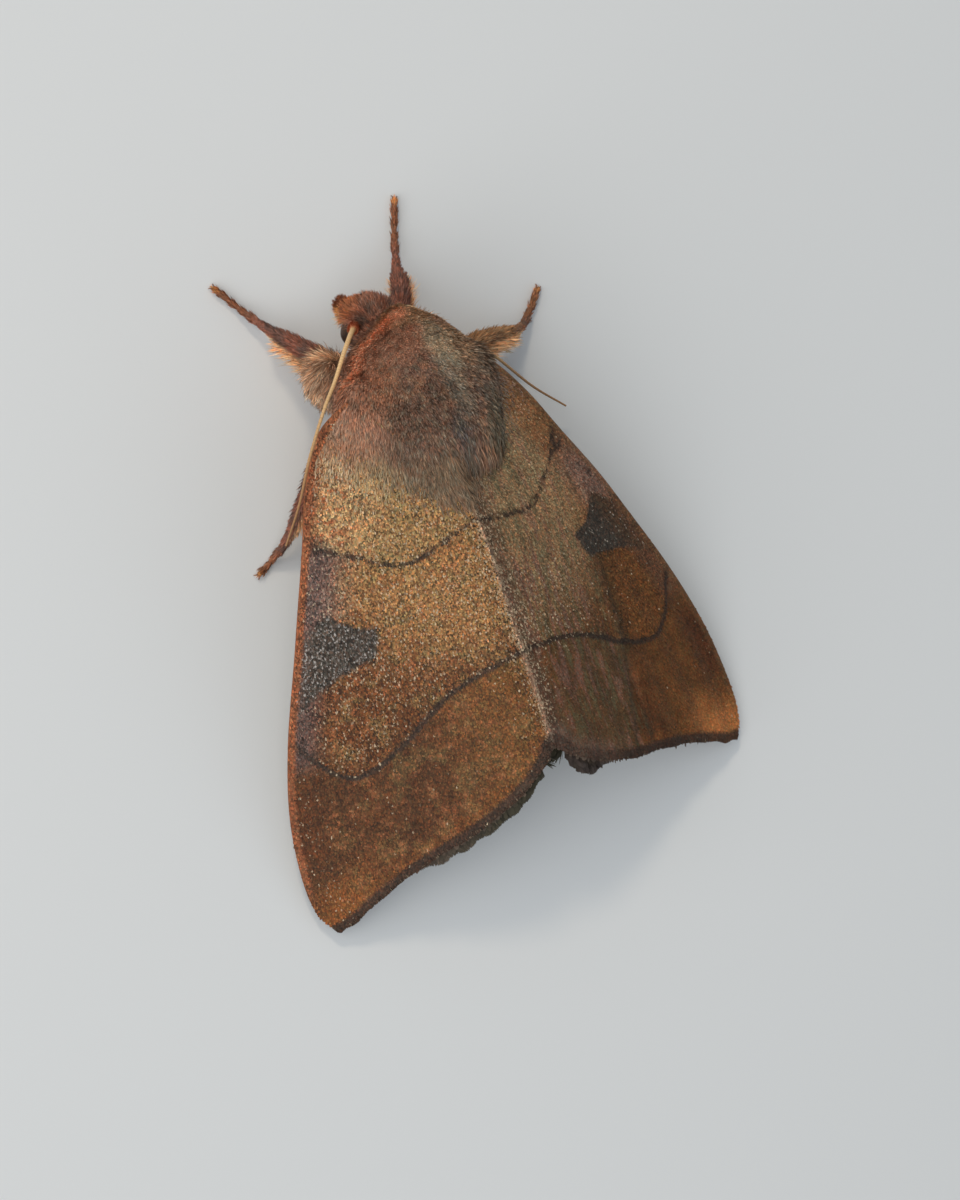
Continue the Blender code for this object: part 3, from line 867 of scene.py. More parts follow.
# ---------------------------------------------------------------------------
# The body's skin: head, palps, thorax, abdomen and legs in one closed soft
# hide under the coat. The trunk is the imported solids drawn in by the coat's
# depth; the legs are drawn afresh with their joints and foot segments.
# ---------------------------------------------------------------------------
FOOT_HEIGHT = 0.25
LEGS = {
    "fore_left": [((-0.8, 21.2, 2.9), 0.55), ((-1.5, 21.8, 2.6), 0.60),
                  ((-2.05, 22.3, 2.5), 0.60), ((-2.65, 23.3, 1.7), 0.45),
                  ((-3.15, 24.2, 0.9), 0.36), ((-3.82, 25.45, 0.36), 0.27),
                  ((-4.45, 26.6, FOOT_HEIGHT), 0.28)],
    "fore_right": [((1.0, 21.2, 2.9), 0.55), ((1.6, 22.1, 2.6), 0.55),
                   ((2.15, 23.05, 2.4), 0.50), ((2.7, 23.9, 1.7), 0.44),
                   ((3.12, 24.65, 0.9), 0.34), ((3.78, 26.0, 0.36), 0.27),
                   ((4.36, 27.25, FOOT_HEIGHT), 0.28)],
    "mid_left": [((-1.1, 19.2, 2.9), 0.6), ((-2.6, 18.9, 2.7), 0.55),
                 ((-3.9, 18.2, 2.9), 0.48), ((-4.9, 17.0, 2.2), 0.42),
                 ((-5.85, 15.8, 1.1), 0.38), ((-6.6, 15.2, 0.36), 0.27),
                 ((-7.3, 14.85, FOOT_HEIGHT), 0.28)],
    "mid_right": [((1.1, 19.2, 2.9), 0.6), ((2.8, 19.9, 2.6), 0.60),
                  ((4.4, 20.3, 2.5), 0.60), ((5.9, 20.3, 1.8), 0.45),
                  ((7.15, 20.2, 0.95), 0.36), ((8.05, 20.65, 0.36), 0.28),
                  ((8.85, 21.45, FOOT_HEIGHT), 0.28)],
    "hind_left": [((-0.9, 17.2, 3.1), 0.6), ((-2.2, 16.0, 2.6), 0.55),
                  ((-3.5, 14.8, 2.7), 0.48), ((-4.2, 12.9, 2.0), 0.42),
                  ((-4.7, 10.9, 0.9), 0.34), ((-4.9, 9.3, 0.36), 0.27),
                  ((-5.0, 7.7, FOOT_HEIGHT), 0.28)],
    "hind_right": [((0.7, 17.2, 3.1), 0.6), ((2.0, 16.0, 2.6), 0.55),
                   ((3.3, 14.8, 2.7), 0.48), ((4.0, 12.9, 2.0), 0.42),
                   ((4.5, 10.9, 0.9), 0.34), ((4.75, 9.3, 0.36), 0.27),
                   ((4.9, 7.7, FOOT_HEIGHT), 0.28)],
}
TARSUS_START = 0.70      # share of the leg's run where the foot segments begin
FOOT_SEGMENTS = 5
PALPS = {
    "left": [(-0.35, 23.2, 2.75), (-0.46, 23.7, 2.9), (-0.52, 24.05, 3.3), (-0.5, 24.2, 3.75)],
    "right": [(0.5, 23.05, 2.75), (0.55, 23.5, 2.9), (0.55, 23.75, 3.3), (0.5, 23.85, 3.75)],
}
TRUNK = ["head", "palp_left", "palp_right", "thorax", "abdomen"]
SEAM = 0.04              # closes the thin cuts between the solids
VOXEL = 0.085            # grain of the fused skin
CONE = 0.6               # height of a tube's end over its radius


def foot_segment(reach):
    """How far along the foot a place is, in segments; below 0 on the leg."""
    return (reach - TARSUS_START) / (1 - TARSUS_START) * FOOT_SEGMENTS


def leg_run(name, count=90):
    """Centre line of a leg, its skin radius, run and direction."""
    points, radii = zip(*LEGS[name])
    t = np.linspace(0, 1, count)
    centre = curve_at(points, t)
    radius = curve_at([(r, 0) for r in radii], t)[:, 0]
    skin = radius - 0.12 - 0.25 * np.maximum(radius - 0.27, 0)
    segment = foot_segment(t)
    flare = np.where(segment > 0, 0.84 + 0.30 * (segment % 1.0), 1.0)
    skin = skin * flare * (1 + 0.10 * np.exp(-((t - 0.36) / 0.03) ** 2))
    centre[:, 2] -= 0.07 * smooth(centre[:, 2], 0.9, 0.3)
    return centre, skin, t, unit(np.gradient(centre, axis=0))


def tube(centre, radius, sides=12):
    """Points and triangles of a round tube, each end closed by a low cone."""
    ahead = unit(np.gradient(centre, axis=0))
    across = unit(np.cross(ahead, (0.02, 0.05, 1.0)))
    up = np.cross(across, ahead)
    angle = np.linspace(0, 2 * math.pi, sides, endpoint=False)
    ring = (across[:, None] * np.cos(angle)[:, None] + up[:, None] * np.sin(angle)[:, None])
    wall = (centre[:, None] + ring * radius[:, None, None]).reshape(-1, 3)
    caps = (centre[0] - ahead[0] * radius[0] * CONE, centre[-1] + ahead[-1] * radius[-1] * CONE)
    points = np.vstack((wall, caps))
    faces = []
    k = np.arange(sides)
    nxt = (k + 1) % sides
    for row in range(len(centre) - 1):
        a = row * sides
        faces.append(np.column_stack((a + k, a + nxt, a + sides + nxt)))
        faces.append(np.column_stack((a + k, a + sides + nxt, a + sides + k)))
    first, last = len(wall), (len(centre) - 1) * sides
    faces.append(np.column_stack((nxt, k, np.full(sides, first))))
    faces.append(np.column_stack((last + k, last + nxt, np.full(sides, first + 1))))
    return points, np.vstack(faces)


def joined(meshes):
    """Points and triangles of several meshes as those of one."""
    points, faces = zip(*meshes)
    starts = np.cumsum([0] + [len(some) for some in points[:-1]])
    return np.vstack(points), np.vstack([some + start for some, start in zip(faces, starts)])


def mesh_arrays(mesh):
    """Points and triangles of a mesh."""
    mesh.calc_loop_triangles()
    return read(mesh.vertices, "co", 3), read(mesh.loop_triangles, "vertices", 3, int)


def fused_flesh():
    """Trunk solids and leg tubes grown together, in body millimetres."""
    bm = bmesh.new()
    for node in TRUNK:
        solid = bmesh.new()
        solid.from_mesh(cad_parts[node].data)
        bmesh.ops.remove_doubles(solid, verts=solid.verts, dist=1e-7)
        bmesh.ops.recalc_face_normals(solid, faces=solid.faces)
        solid.normal_update()
        for vertex in solid.verts:
            vertex.co = vertex.co / MM + Vector(MIDDLE) + vertex.normal * SEAM
        part = bpy.data.meshes.new("part")
        solid.to_mesh(part)
        solid.free()
        bm.from_mesh(part)
        bpy.data.meshes.remove(part)
    flesh = bpy.data.meshes.new("flesh")
    bm.to_mesh(flesh)
    bm.free()
    legs = [tube(*leg_run(name)[:2]) for name in LEGS]
    points, triangles = joined([mesh_arrays(flesh), *legs])
    bpy.data.meshes.remove(flesh)
    rough = bpy.data.meshes.new("rough")
    rough.from_pydata(points.tolist(), [], triangles.tolist())
    holder = linked("rough", rough)
    remesh = holder.modifiers.new("fuse", "REMESH")
    remesh.mode = "VOXEL"
    remesh.voxel_size = VOXEL
    graph = bpy.context.evaluated_depsgraph_get()
    fused = bpy.data.meshes.new_from_object(holder.evaluated_get(graph))
    bpy.data.objects.remove(holder)
    bpy.data.meshes.remove(rough)
    return fused


def relaxed(points, edges, rounds, share):
    """Points moved toward the mean of their neighbours."""
    count = len(points)
    degree = np.bincount(edges.ravel(), minlength=count)[:, None]
    for _ in range(rounds):
        total = np.column_stack([
            np.bincount(edges[:, 0], points[edges[:, 1], k], count)
            + np.bincount(edges[:, 1], points[edges[:, 0], k], count)
            for k in range(points.shape[1])])
        points = points + share * (total / degree - points)
    return points


def body_regions(points):
    """Shares of leg, palp, head, abdomen, chest at each place, and leg run."""
    count = len(points)
    nearest = np.full(count, 1e9)
    reach, direction, which = np.zeros(count), np.zeros((count, 3)), np.zeros(count, int)
    for number, name in enumerate(LEGS):
        centre, radius, t, ahead = leg_run(name, 46)
        gap = np.linalg.norm(points[:, None] - centre, axis=2) - radius
        best = gap.argmin(1)
        found = gap[np.arange(count), best]
        closer = found < nearest
        nearest = np.where(closer, found, nearest)
        reach = np.where(closer, t[best], reach)
        which = np.where(closer, number, which)
        direction[closer] = ahead[best][closer]
    leg = smooth(nearest, 0.28, 0.06) * smooth(reach, 0.10, 0.20)
    palp_gap = np.minimum(*(line_distance(points, dense(run, 12)) for run in PALPS.values()))
    palp = smooth(palp_gap, 0.75, 0.5)
    head_gap = line_distance(points, np.array(((0.2, 21.9, 4.55), (-0.1, 23.95, 4.3))))
    head = smooth(head_gap, 1.95, 1.55) * smooth(points[:, 1], 21.6, 22.1)
    head = head * smooth(points[:, 2] + 0.3 * (points[:, 1] - 22.5), 6.1, 5.7)
    abdomen = smooth(points[:, 1], 16.3, 15.3)
    chest = smooth(points[:, 2], 4.6, 3.8) * smooth(points[:, 1], 19.0, 20.0)
    return {"leg": leg, "palp": palp * (1 - leg), "head": head * (1 - leg),
            "abdomen": abdomen * (1 - leg), "chest": chest * (1 - leg) * (1 - head),
            "reach": reach, "ahead": direction, "which": which}


def coat_depth(regions):
    depth = 0.22 + 0.23 * regions["chest"]
    depth = depth + (0.24 - depth) * regions["head"]
    depth = depth + (0.15 - depth) * regions["palp"]
    depth = depth + (0.28 - depth) * regions["abdomen"]
    return depth * (1 - regions["leg"]) + SEAM * (1 - regions["leg"])


def body_skin():
    mesh = fused_flesh()
    points, _ = mesh_arrays(mesh)
    edges = read(mesh.edges, "vertices", 2, int)
    points = relaxed(points, edges, 5, 0.5)
    mesh.vertices.foreach_set("co", points.ravel())
    mesh.update()
    regions = body_regions(points)
    depth = relaxed(coat_depth(regions)[:, None], edges, 12, 0.6)
    points = points - read(mesh.vertices, "normal", 3) * depth
    points = relaxed(points, edges, 4, 0.5)
    points[:, 2] = np.maximum(points[:, 2], 0.02)
    mesh.vertices.foreach_set("co", ((points - MIDDLE) * MM).ravel())
    mesh.name = "body_skin"
    mesh.update()
    piece = linked("body_skin", mesh)
    mesh.shade_smooth()
    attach(piece, ROOT_BODY)
    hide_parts(*TRUNK, *("leg_" + name for name in LEGS))
    mesh.uv_layers.new(name="OFBake")
    bpy.context.view_layer.objects.active = piece
    piece.select_set(True)
    bpy.ops.object.mode_set(mode="EDIT")
    bpy.ops.mesh.select_all(action="SELECT")
    bpy.ops.uv.smart_project(angle_limit=math.radians(66), island_margin=0.002)
    bpy.ops.object.mode_set(mode="OBJECT")
    piece.select_set(False)
    return piece


skin = body_skin()


# ---------------------------------------------------------------------------
# The coat: hair and hair-like scales all over the body, each a thin tapered
# blade that leans with its neighbours in small tufts. It streams back over
# thorax and wing roots, down the legs, and stands up on the crown.
# ---------------------------------------------------------------------------
COLLAR_STRIPE = [(-2.6, 21.2, 7.6), (-1.76, 22.2, 7.0), (-0.67, 22.75, 7.2), (0.3, 23.0, 7.3)]
DARK_STREAK = [(1.82, 22.22, 7.57), (1.0, 21.32, 8.88), (0.43, 20.41, 9.41), (0.9, 17.6, 9.7)]

# Patches of colour on thorax and shoulders: place, size, colour, strength.
BLOTCHES = [
    ((-0.7, 22.0, 7.8), (2.6, 1.1, 1.7), (0.400, 0.205, 0.130), 0.8),
    ((-3.9, 18.6, 7.9), (1.2, 1.1, 1.4), (0.300, 0.185, 0.096), 0.8),
    ((-3.5, 16.9, 8.2), (2.0, 1.3, 1.5), (0.290, 0.225, 0.125), 0.85),
    ((-4.9, 17.9, 7.3), (0.9, 1.0, 1.2), (0.400, 0.300, 0.190), 0.8),
    ((-2.5, 20.4, 8.4), (1.3, 1.2, 1.6), (0.310, 0.145, 0.080), 0.75),
    ((-2.9, 21.2, 7.2), (1.3, 1.4, 1.8), (0.400, 0.190, 0.120), 0.6),
    ((-3.3, 19.4, 8.2), (1.3, 1.5, 1.6), (0.290, 0.150, 0.098), 0.8),
    ((-1.1, 17.9, 9.6), (2.1, 2.2, 1.8), (0.100, 0.061, 0.043), 0.85),
    ((1.25, 21.3, 8.6), (0.70, 1.3, 1.3), (0.420, 0.350, 0.240), 0.75),
    ((0.85, 19.6, 9.5), (0.5, 1.5, 1.0), (0.240, 0.205, 0.155), 0.7),
    ((2.4, 20.9, 7.9), (0.9, 1.5, 1.4), (0.360, 0.230, 0.135), 0.8),
    ((2.9, 18.4, 8.2), (1.3, 2.6, 2.2), (0.135, 0.102, 0.078), 0.8),
    ((0.3, 17.3, 9.8), (0.40, 1.2, 1.2), (0.070, 0.066, 0.066), 0.75),
    ((2.3, 17.0, 8.8), (1.0, 1.4, 1.4), (0.130, 0.115, 0.070), 0.6),
    ((-0.8, 15.7, 9.2), (2.2, 1.5, 1.8), (0.145, 0.104, 0.064), 0.8),
    ((1.1, 22.8, 7.3), (1.6, 0.55, 1.2), (0.420, 0.270, 0.150), 0.7),
]


def coat_look():
    look = Look("coat", Specular_IOR_Level=0.3)
    step, mix, paint = look.step, look.mix, look.paint
    noise, mark = look.noise, look.mark
    place = mark("place", "Vector")
    broad = noise(place, 0.55)
    cloud = noise(place, 2.2, 3.0)
    grain = noise(place, 9.0, 3.0)
    tip, shade, tint = mark("tip"), mark("shade"), mark("tint")

    def near(centre, sizes):
        """Share of a round patch of colour about a place on the body."""
        offset = look.node("VectorMath", {"operation": "SUBTRACT"}, {0: place, 1: centre})
        scaled = look.node("VectorMath", {"operation": "DIVIDE"}, {0: offset, 1: sizes})
        far = look.node("VectorMath", {"operation": "LENGTH"}, {0: scaled}, 1)
        ragged = far + 0.5 * (broad - 0.5) + 0.7 * (cloud - 0.5)
        return step(ragged, 1.4, 0.6)

    look.colour = mix((0.172, 0.104, 0.078), (0.280, 0.150, 0.092), step(cloud, 0.45, 0.62))
    for centre, sizes, patch, strength in BLOTCHES:
        paint(patch, near(centre, sizes) * strength)
    speckle = noise(place, 4.4, 2.0)
    paint((0.175, 0.146, 0.104), step(speckle, 0.52, 0.62) * 0.45)
    paint((0.300, 0.135, 0.085), step(speckle, 0.46, 0.38) * 0.22)
    stripe = mark("stripe") + 0.4 * (cloud - 0.5)
    paint((0.600, 0.310, 0.185), step(stripe, 0.70, 0.2) * 0.85)
    streak = mark("streak") + 0.3 * (cloud - 0.5)
    paint((0.062, 0.048, 0.040), step(streak, 0.22, 0.05) * 0.6)
    chest = mark("chest")
    fluff = mix((0.740, 0.490, 0.300), (0.430, 0.255, 0.155), step(cloud, 0.4, 0.6))
    fluff = mix(fluff, (0.070, 0.046, 0.036), step(tip, 0.62, 0.92) * 0.8)
    paint(fluff, chest)
    head, palp = mark("head"), mark("palp")
    paint(mix((0.300, 0.130, 0.082), (0.145, 0.092, 0.070), step(cloud, 0.42, 0.60)), head)
    front = mix((0.350, 0.122, 0.045), (0.220, 0.084, 0.042), step(cloud, 0.44, 0.58))
    paint(front, head * near((-0.75, 24.1, 4.2), (0.75, 0.7, 1.2)))
    paint(front, palp * 0.9)
    paint((0.540, 0.320, 0.140), (head + palp) * near((-1.05, 23.35, 3.3), (0.55, 0.6, 0.8)))
    paint((0.300, 0.215, 0.130), mark("abdomen"))
    leg, reach, under = mark("leg"), mark("reach"), mark("under")
    limb = mix((0.210, 0.080, 0.052), (0.100, 0.052, 0.040), step(cloud, 0.40, 0.6))
    limb = mix(limb, (0.240, 0.095, 0.040), step(reach, 0.70, 0.80) * 0.6)
    limb = mix(limb, (0.500, 0.210, 0.065), step(reach, 0.965, 0.985))
    limb = mix(limb, (0.290, 0.165, 0.072), near((5.6, 22.0, 2.0), (2.6, 2.2, 3.0)) * 0.75)
    limb = mix(limb, (0.640, 0.430, 0.250), step(under, -0.05, 0.45) * step(reach, 0.70, 0.56))
    paint(limb, leg)
    paint(mix((1.13, 0.97, 0.86), (0.90, 1.04, 1.12), step(tint, 0.9, -0.9)), 1.0, "MULTIPLY")
    light = 0.78 + 0.72 * shade + 0.55 * cloud + 0.35 * grain
    light = light * (0.92 + 0.36 * step(tip, 0.0, 0.7))
    look.lighten(light)
    return look.finished(0.74 - 0.2 * cloud, grain, 0.00004, 0.5)


REGION_MARKS = ("leg", "palp", "head", "abdomen", "chest", "reach")


def skin_fields(piece):
    """Everything the coat needs to know at each vertex of the skin."""
    mesh = piece.data
    points, triangles = mesh_arrays(mesh)
    points = points / MM + MIDDLE
    fields = body_regions(points)
    normals = read(mesh.vertices, "normal", 3)
    corners = read(mesh.loop_triangles, "loops", 3, int)
    uv = read(mesh.uv_layers["OFBake"].uv, "vector", 2)[corners]
    behind = normals @ (0.0, 0.85, 0.5)
    fields["under"] = -(normals[:, 2] * (1 - fields["leg"]) + behind * fields["leg"])
    return points, normals, triangles, uv, fields


def coat_marks(points, regions):
    """What the coat's finish needs to know at each place."""
    return {"place": points, "under": regions["under"],
            "stripe": line_distance(points, COLLAR_STRIPE),
            "streak": line_distance(points, DARK_STREAK),
            **{key: regions[key] for key in REGION_MARKS}}


skin_points, skin_normals, skin_triangles, skin_uv, skin_regions = skin_fields(skin)
write_marks(skin.data, coat_marks(skin_points, skin_regions))
coat_material = coat_look()
skin.data.materials.append(coat_material)

EYES = {"left": (-0.58, 22.75, 4.0), "right": (1.02, 22.62, 4.0)}
EYE_RADIUS = 0.64
WHORL = np.array((0.3, 24.6, 5.6))       # the trunk's hair streams away from here
CROWN = np.array((0.2, 21.6, 5.0))       # and the head's from here


def lie_of_hair(points, normals, regions):
    """Direction of the hair along the skin."""
    lie = unit(points - WHORL)
    lie = lie + (0, -0.5, 0) * smooth(points[:, 1:2], 21.5, 18.5)
    face = unit(points - CROWN) + (0, 0.2, 0.1)
    for centre in EYES.values():
        gap = np.array(centre) - points
        far = np.linalg.norm(gap, axis=1, keepdims=True)
        face = face + 2.2 * gap / far * np.exp(-((far - EYE_RADIUS) / 0.30) ** 2)
    ways = (("head", face), ("palp", np.broadcast_to((0.0, 0.55, 0.85), points.shape)),
            ("abdomen", np.broadcast_to((0.0, -1.0, 0.0), points.shape)),
            ("leg", regions["ahead"]))
    for key, way in ways:
        share = regions[key][:, None]
        lie = lie * (1 - share) + way * share
    lie = lie - normals * (lie * normals).sum(1, keepdims=True)
    return lie / np.maximum(np.linalg.norm(lie, axis=1, keepdims=True), 1e-6)


def tinted(marks, draw, count):
    """Marks with a shade and a hue of its own for each hair."""
    marks["shade"] = np.clip(draw.normal(0, 0.6, count), -1.0, 1.8)
    marks["tint"] = draw.uniform(-1, 1, count)
    return marks


def ripple(points, seed):
    """Smooth wandering numbers about 0 that make neighbours lean together."""
    draw = np.random.default_rng(seed)
    total = np.zeros(len(points))
    for scale in (2.2, 4.1, 7.3):
        wave = draw.normal(0, scale, (3, 2))
        total += np.sin(points @ wave[:, 0] + draw.uniform(0, 6)) * np.cos(points @ wave[:, 1])
    return total / 1.5


HAIR = [(0.0, 0.8, 0.0), (0.38, 1.0, 0.055), (0.74, 0.75, 0.05), (1.0, 0.0, -0.02)]
VELVET = [(0.0, 0.5, 0.0), (0.66, 1.0, 0.05), (1.0, 0.0, 0.0)]


def coat(name, chance, count, length, width, lift, seed, fan=0.16, shape=HAIR,
         longest=1.2):
    """Blades over the part of the skin where the chance is above nothing."""
    draw = np.random.default_rng(seed)
    a, b, c = (skin_points[skin_triangles[:, k]] for k in range(3))
    area = np.linalg.norm(np.cross(b - a, c - a), axis=1)
    share = area * chance[skin_triangles].mean(1)
    chosen = draw.choice(len(area), count, p=share / share.sum())
    spot = draw.random((count, 2))
    over = spot.sum(1) > 1
    spot[over] = 1 - spot[over]
    weights = np.column_stack((1 - spot.sum(1), spot))
    corner = skin_triangles[chosen]

    def at(values):
        picked = values[corner]
        extra = (1,) * (picked.ndim - 2)
        return (picked * weights.reshape(count, 3, *extra)).sum(1)

    roots, up = at(skin_points), unit(at(skin_normals))
    regions = {key: at(skin_regions[key]) for key in (*REGION_MARKS, "ahead", "under")}
    uv = (skin_uv[chosen] * weights[:, :, None]).sum(1)
    lie = lie_of_hair(roots, up, regions)
    sideways = np.cross(up, lie)
    lean = fan * (ripple(roots, seed) + 0.8 * draw.normal(0, 1, count))
    rise = lift(roots, regions) * (1 + 0.25 * ripple(roots, seed + 1)
                                   + 0.25 * draw.normal(0, 1, count))
    lie = lie + sideways * lean[:, None] + up * rise[:, None]
    marks = tinted(coat_marks(roots, regions), draw, count)
    long = length(roots, regions) * (0.7 + (longest - 0.7) * draw.random(count) ** 2.5)
    wide = width(roots, regions) / 2 * draw.uniform(0.8, 1.25, count)
    roots = roots - up * 0.02
    return blades(name, roots, lie, up, long, wide, shape, marks, uv, coat_material, 0.35,
                  seed + 50)


def steady(value):
    """The same length, width or lift for every hair."""
    return lambda roots, regions: np.full(len(roots), value)


parts = skin_regions
trunk = (1 - parts["leg"]) * (1 - parts["head"]) * (1 - parts["palp"])
thorax = trunk * (1 - parts["abdomen"]) * (1 - parts["chest"])
TEGULAE = ((-3.1, 20.5, 7.9), (2.75, 20.2, 7.6))     # where the wing roots' hair is longer


def thorax_length(roots, regions):
    rear = smooth(roots[:, 1], 18.0, 16.2)
    front = smooth(roots[:, 1], 19.6, 21.2)
    over_root = sum(np.exp(-(((roots - place) / 0.8) ** 2).sum(1)) for place in TEGULAE)
    throat = np.exp(-(((roots - (-1.9, 22.3, 6.0)) / 0.55) ** 2).sum(1))
    return 0.27 + 0.80 * rear - 0.09 * front + 0.42 * over_root + 0.30 * throat


def thorax_width(roots, regions):
    return 0.048 - 0.012 * smooth(roots[:, 1], 19.6, 21.2)


def thorax_lift(roots, regions):
    return 0.72 - 0.38 * smooth(roots[:, 1], 18.6, 17.0)


foremost = smooth(skin_points[:, 1], 19.8, 20.6)
for side, sign, seed in (("left", -1, 101), ("right", 1, 102)):
    half = (skin_points[:, 0] * sign > 0) * 1.0
    for end, share, count in (("front", foremost, 35500), ("rear", 1 - foremost, 41000)):
        coat("thorax_%s_coat_%s" % (end, side), thorax * half * share, count, thorax_length,
             thorax_width, thorax_lift, seed + 10 * (end == "rear"), shape=VELVET,
             longest=1.35)
    coat("chest_coat_" + side, trunk * parts["chest"] * half, 9000, steady(0.76),
         steady(0.034), steady(0.60), seed + 2, fan=0.3)
coat("abdomen_coat", trunk * parts["abdomen"], 22000, steady(0.62), steady(0.055),
     steady(0.22), 107, shape=VELVET)


def shoulder_hair(name, side, count, seed):
    """Hair over a wing's root, thick at the thorax and thinning backward."""
    draw = np.random.default_rng(seed)
    across = draw.random(count)
    place = curve_at(WING_ROOT, across)
    back = (2.1 + 1.0 * across) * draw.random(count) - 0.35
    far = smooth(back, 0.8, 2.4)
    back = back + 0.9 * far * draw.random(count)
    outward = 1.15 * smooth(across, 0.45, 1.0)
    place = place + np.column_stack(((outward - 0.10) * back, -back))
    root, ahead, up = wing_lie(place, side, np.where(back < 0, 0.18, 0.01))
    mirror = WING_POSES[side][0]
    keep = off_ridge(root, side)
    keep &= wing_marks(place, side)["costa"] > 0.25
    keep &= draw.random(count) > 0.85 * smooth(back, 0.6, 2.8)
    sideways = np.cross(up, ahead)
    lean = 0.22 * (ripple(root, seed) + 0.8 * draw.normal(0, 1, count))
    lean = lean + 0.35 * outward * mirror
    lift = (0.42 - 0.24 * far) * (1 + 0.3 * draw.normal(0, 1, count))
    lie = ahead + sideways * lean[:, None] + up * lift[:, None]
    length = (0.66 - 0.36 * across - 0.10 * far) * draw.uniform(0.5, 1.2, count)
    flat = {key: np.zeros(count) for key in (*REGION_MARKS, "under")}
    marks = tinted(coat_marks(root, flat), draw, count)
    marks = {key: values[keep] for key, values in marks.items()}
    width = draw.uniform(0.014, 0.022, count)
    return blades(name, root[keep], lie[keep], up[keep], length[keep], width[keep], HAIR,
                  marks, wing_uv(place)[keep], coat_material, 0.35, seed + 50)


for number, side in enumerate(WING_POSES):
    shoulder_hair("shoulder_coat_" + side, side, 22000, 141 + number)


def face_length(roots, regions):
    crown = smooth(roots[:, 2], 4.6, 5.4)
    lash = sum(np.exp(-((np.linalg.norm(roots - centre, axis=1) - EYE_RADIUS) / 0.25) ** 2)
               for centre in EYES.values())
    cheek = np.exp(-(((roots - (-1.1, 23.4, 3.4)) / 0.4) ** 2).sum(1))
    return 0.16 + 0.03 * crown - 0.04 * regions["palp"] + 0.10 * lash + 0.16 * cheek


def face_lift(roots, regions):
    return 0.9 + 0.9 * smooth(roots[:, 2], 4.2, 5.2)


face = np.maximum(parts["head"], parts["palp"]) * (1 - parts["leg"])
coat("head_coat", face, 36000, face_length, steady(0.026), face_lift, 109, fan=0.5,
     shape=VELVET, longest=2.8)


def leg_length(roots, regions):
    thigh = smooth(regions["reach"], 0.66, 0.48)
    shaggy = thigh * (0.16 + 0.40 * smooth(regions["under"], 0.0, 0.6))
    segment = foot_segment(regions["reach"])
    tufted = np.where(segment > 0, 0.08 * (segment % 1.0), 0.0)
    return 0.15 + shaggy + tufted


def leg_lift(roots, regions):
    segment = foot_segment(regions["reach"])
    flare = np.where(segment > 0, 0.30 * (segment % 1.0) ** 2, 0.15)
    upper = smooth(regions["reach"], 0.66, 0.48)
    return 0.16 + flare + upper * (0.22 + 0.25 * smooth(regions["under"], 0.0, 0.6))


for number, pair in enumerate(("fore", "mid", "hind")):
    mine = np.isin(parts["which"], [k for k, name in enumerate(LEGS) if name.startswith(pair)])
    coat(pair + "_leg_coat", parts["leg"] * mine, 18000, leg_length, steady(0.036), leg_lift,
         121 + number, shape=VELVET, longest=1.7)


# ---------------------------------------------------------------------------
# Compound eyes: near-black brown domes of tiny facets under one smooth
# gloss, set deep in the hair of the cheeks.
# ---------------------------------------------------------------------------
def eye_look():
    look = Look("eye", Coat_Weight=0.12, Coat_Roughness=0.15, Specular_IOR_Level=0.2)
    place = look.mark("place", "Vector")
    facets = look.node("TexVoronoi", {"feature": "DISTANCE_TO_EDGE"},
                       {"Vector": place, "Scale": 26.0}, "Distance")
    cloud = look.noise(place, 2.4)
    look.colour = look.mix((0.030, 0.016, 0.010), (0.075, 0.036, 0.016),
                           look.step(cloud, 0.4, 0.65))
    look.paint((0.008, 0.006, 0.005), look.step(facets, 0.09, 0.02))
    return look.finished(0.24 + 0.1 * cloud, look.step(facets, 0.0, 0.12), 0.000012, 0.8)


gloss = eye_look()
for side, centre in EYES.items():
    bm = bmesh.new()
    bmesh.ops.create_icosphere(bm, subdivisions=5, radius=EYE_RADIUS)
    points = np.array([vertex.co for vertex in bm.verts]) * (1.0, 0.97, 1.05) + centre
    faces = [[vertex.index for vertex in face.verts] for face in bm.faces]
    bm.free()
    new_piece("eye_" + side + "_dome", points, faces, {"place": points},
              ("eye_" + side,), gloss)


# ---------------------------------------------------------------------------
# Antennae: long thin threads of some sixty short rings, straw-coloured and
# darker toward the tip, on a stout, hairy, reddish base joint.
# ---------------------------------------------------------------------------
ANTENNAE = {
    "left": [(-0.78, 23.05, 4.95), (-1.57, 22.75, 6.35), (-2.32, 22.19, 7.05),
             (-3.25, 21.3, 7.55), (-4.3, 20.42, 8.15), (-5.5, 18.86, 7.8),
             (-6.42, 17.25, 7.0), (-7.2, 15.85, 5.6)],
    "right": [(0.95, 23.1, 4.95), (1.9, 22.75, 4.75), (3.15, 21.2, 4.55),
              (4.55, 19.88, 3.85), (6.3, 17.82, 2.2), (7.75, 16.4, 1.15)],
}
RINGS = 62
RING_SIDES = 10
BASE_HAIRS = 420


def antenna_look():
    look = Look("antenna", Roughness=0.5, Specular_IOR_Level=0.4)
    reach, ring = look.mark("reach"), look.mark("ring")
    grain = look.noise(look.mark("place", "Vector"), 14.0)
    look.colour = look.mix((0.820, 0.540, 0.260), (0.400, 0.205, 0.085),
                           look.step(reach, 0.40, 0.85))
    look.paint((0.450, 0.125, 0.055), look.step(reach, 0.075, 0.05))
    look.paint((0.300, 0.180, 0.090), look.step(ring, 0.16, 0.0) * 0.6)
    look.lighten(0.75 + 0.5 * grain)
    return look.finished(0.6 - 0.15 * grain, grain, 0.00001, 0.6)


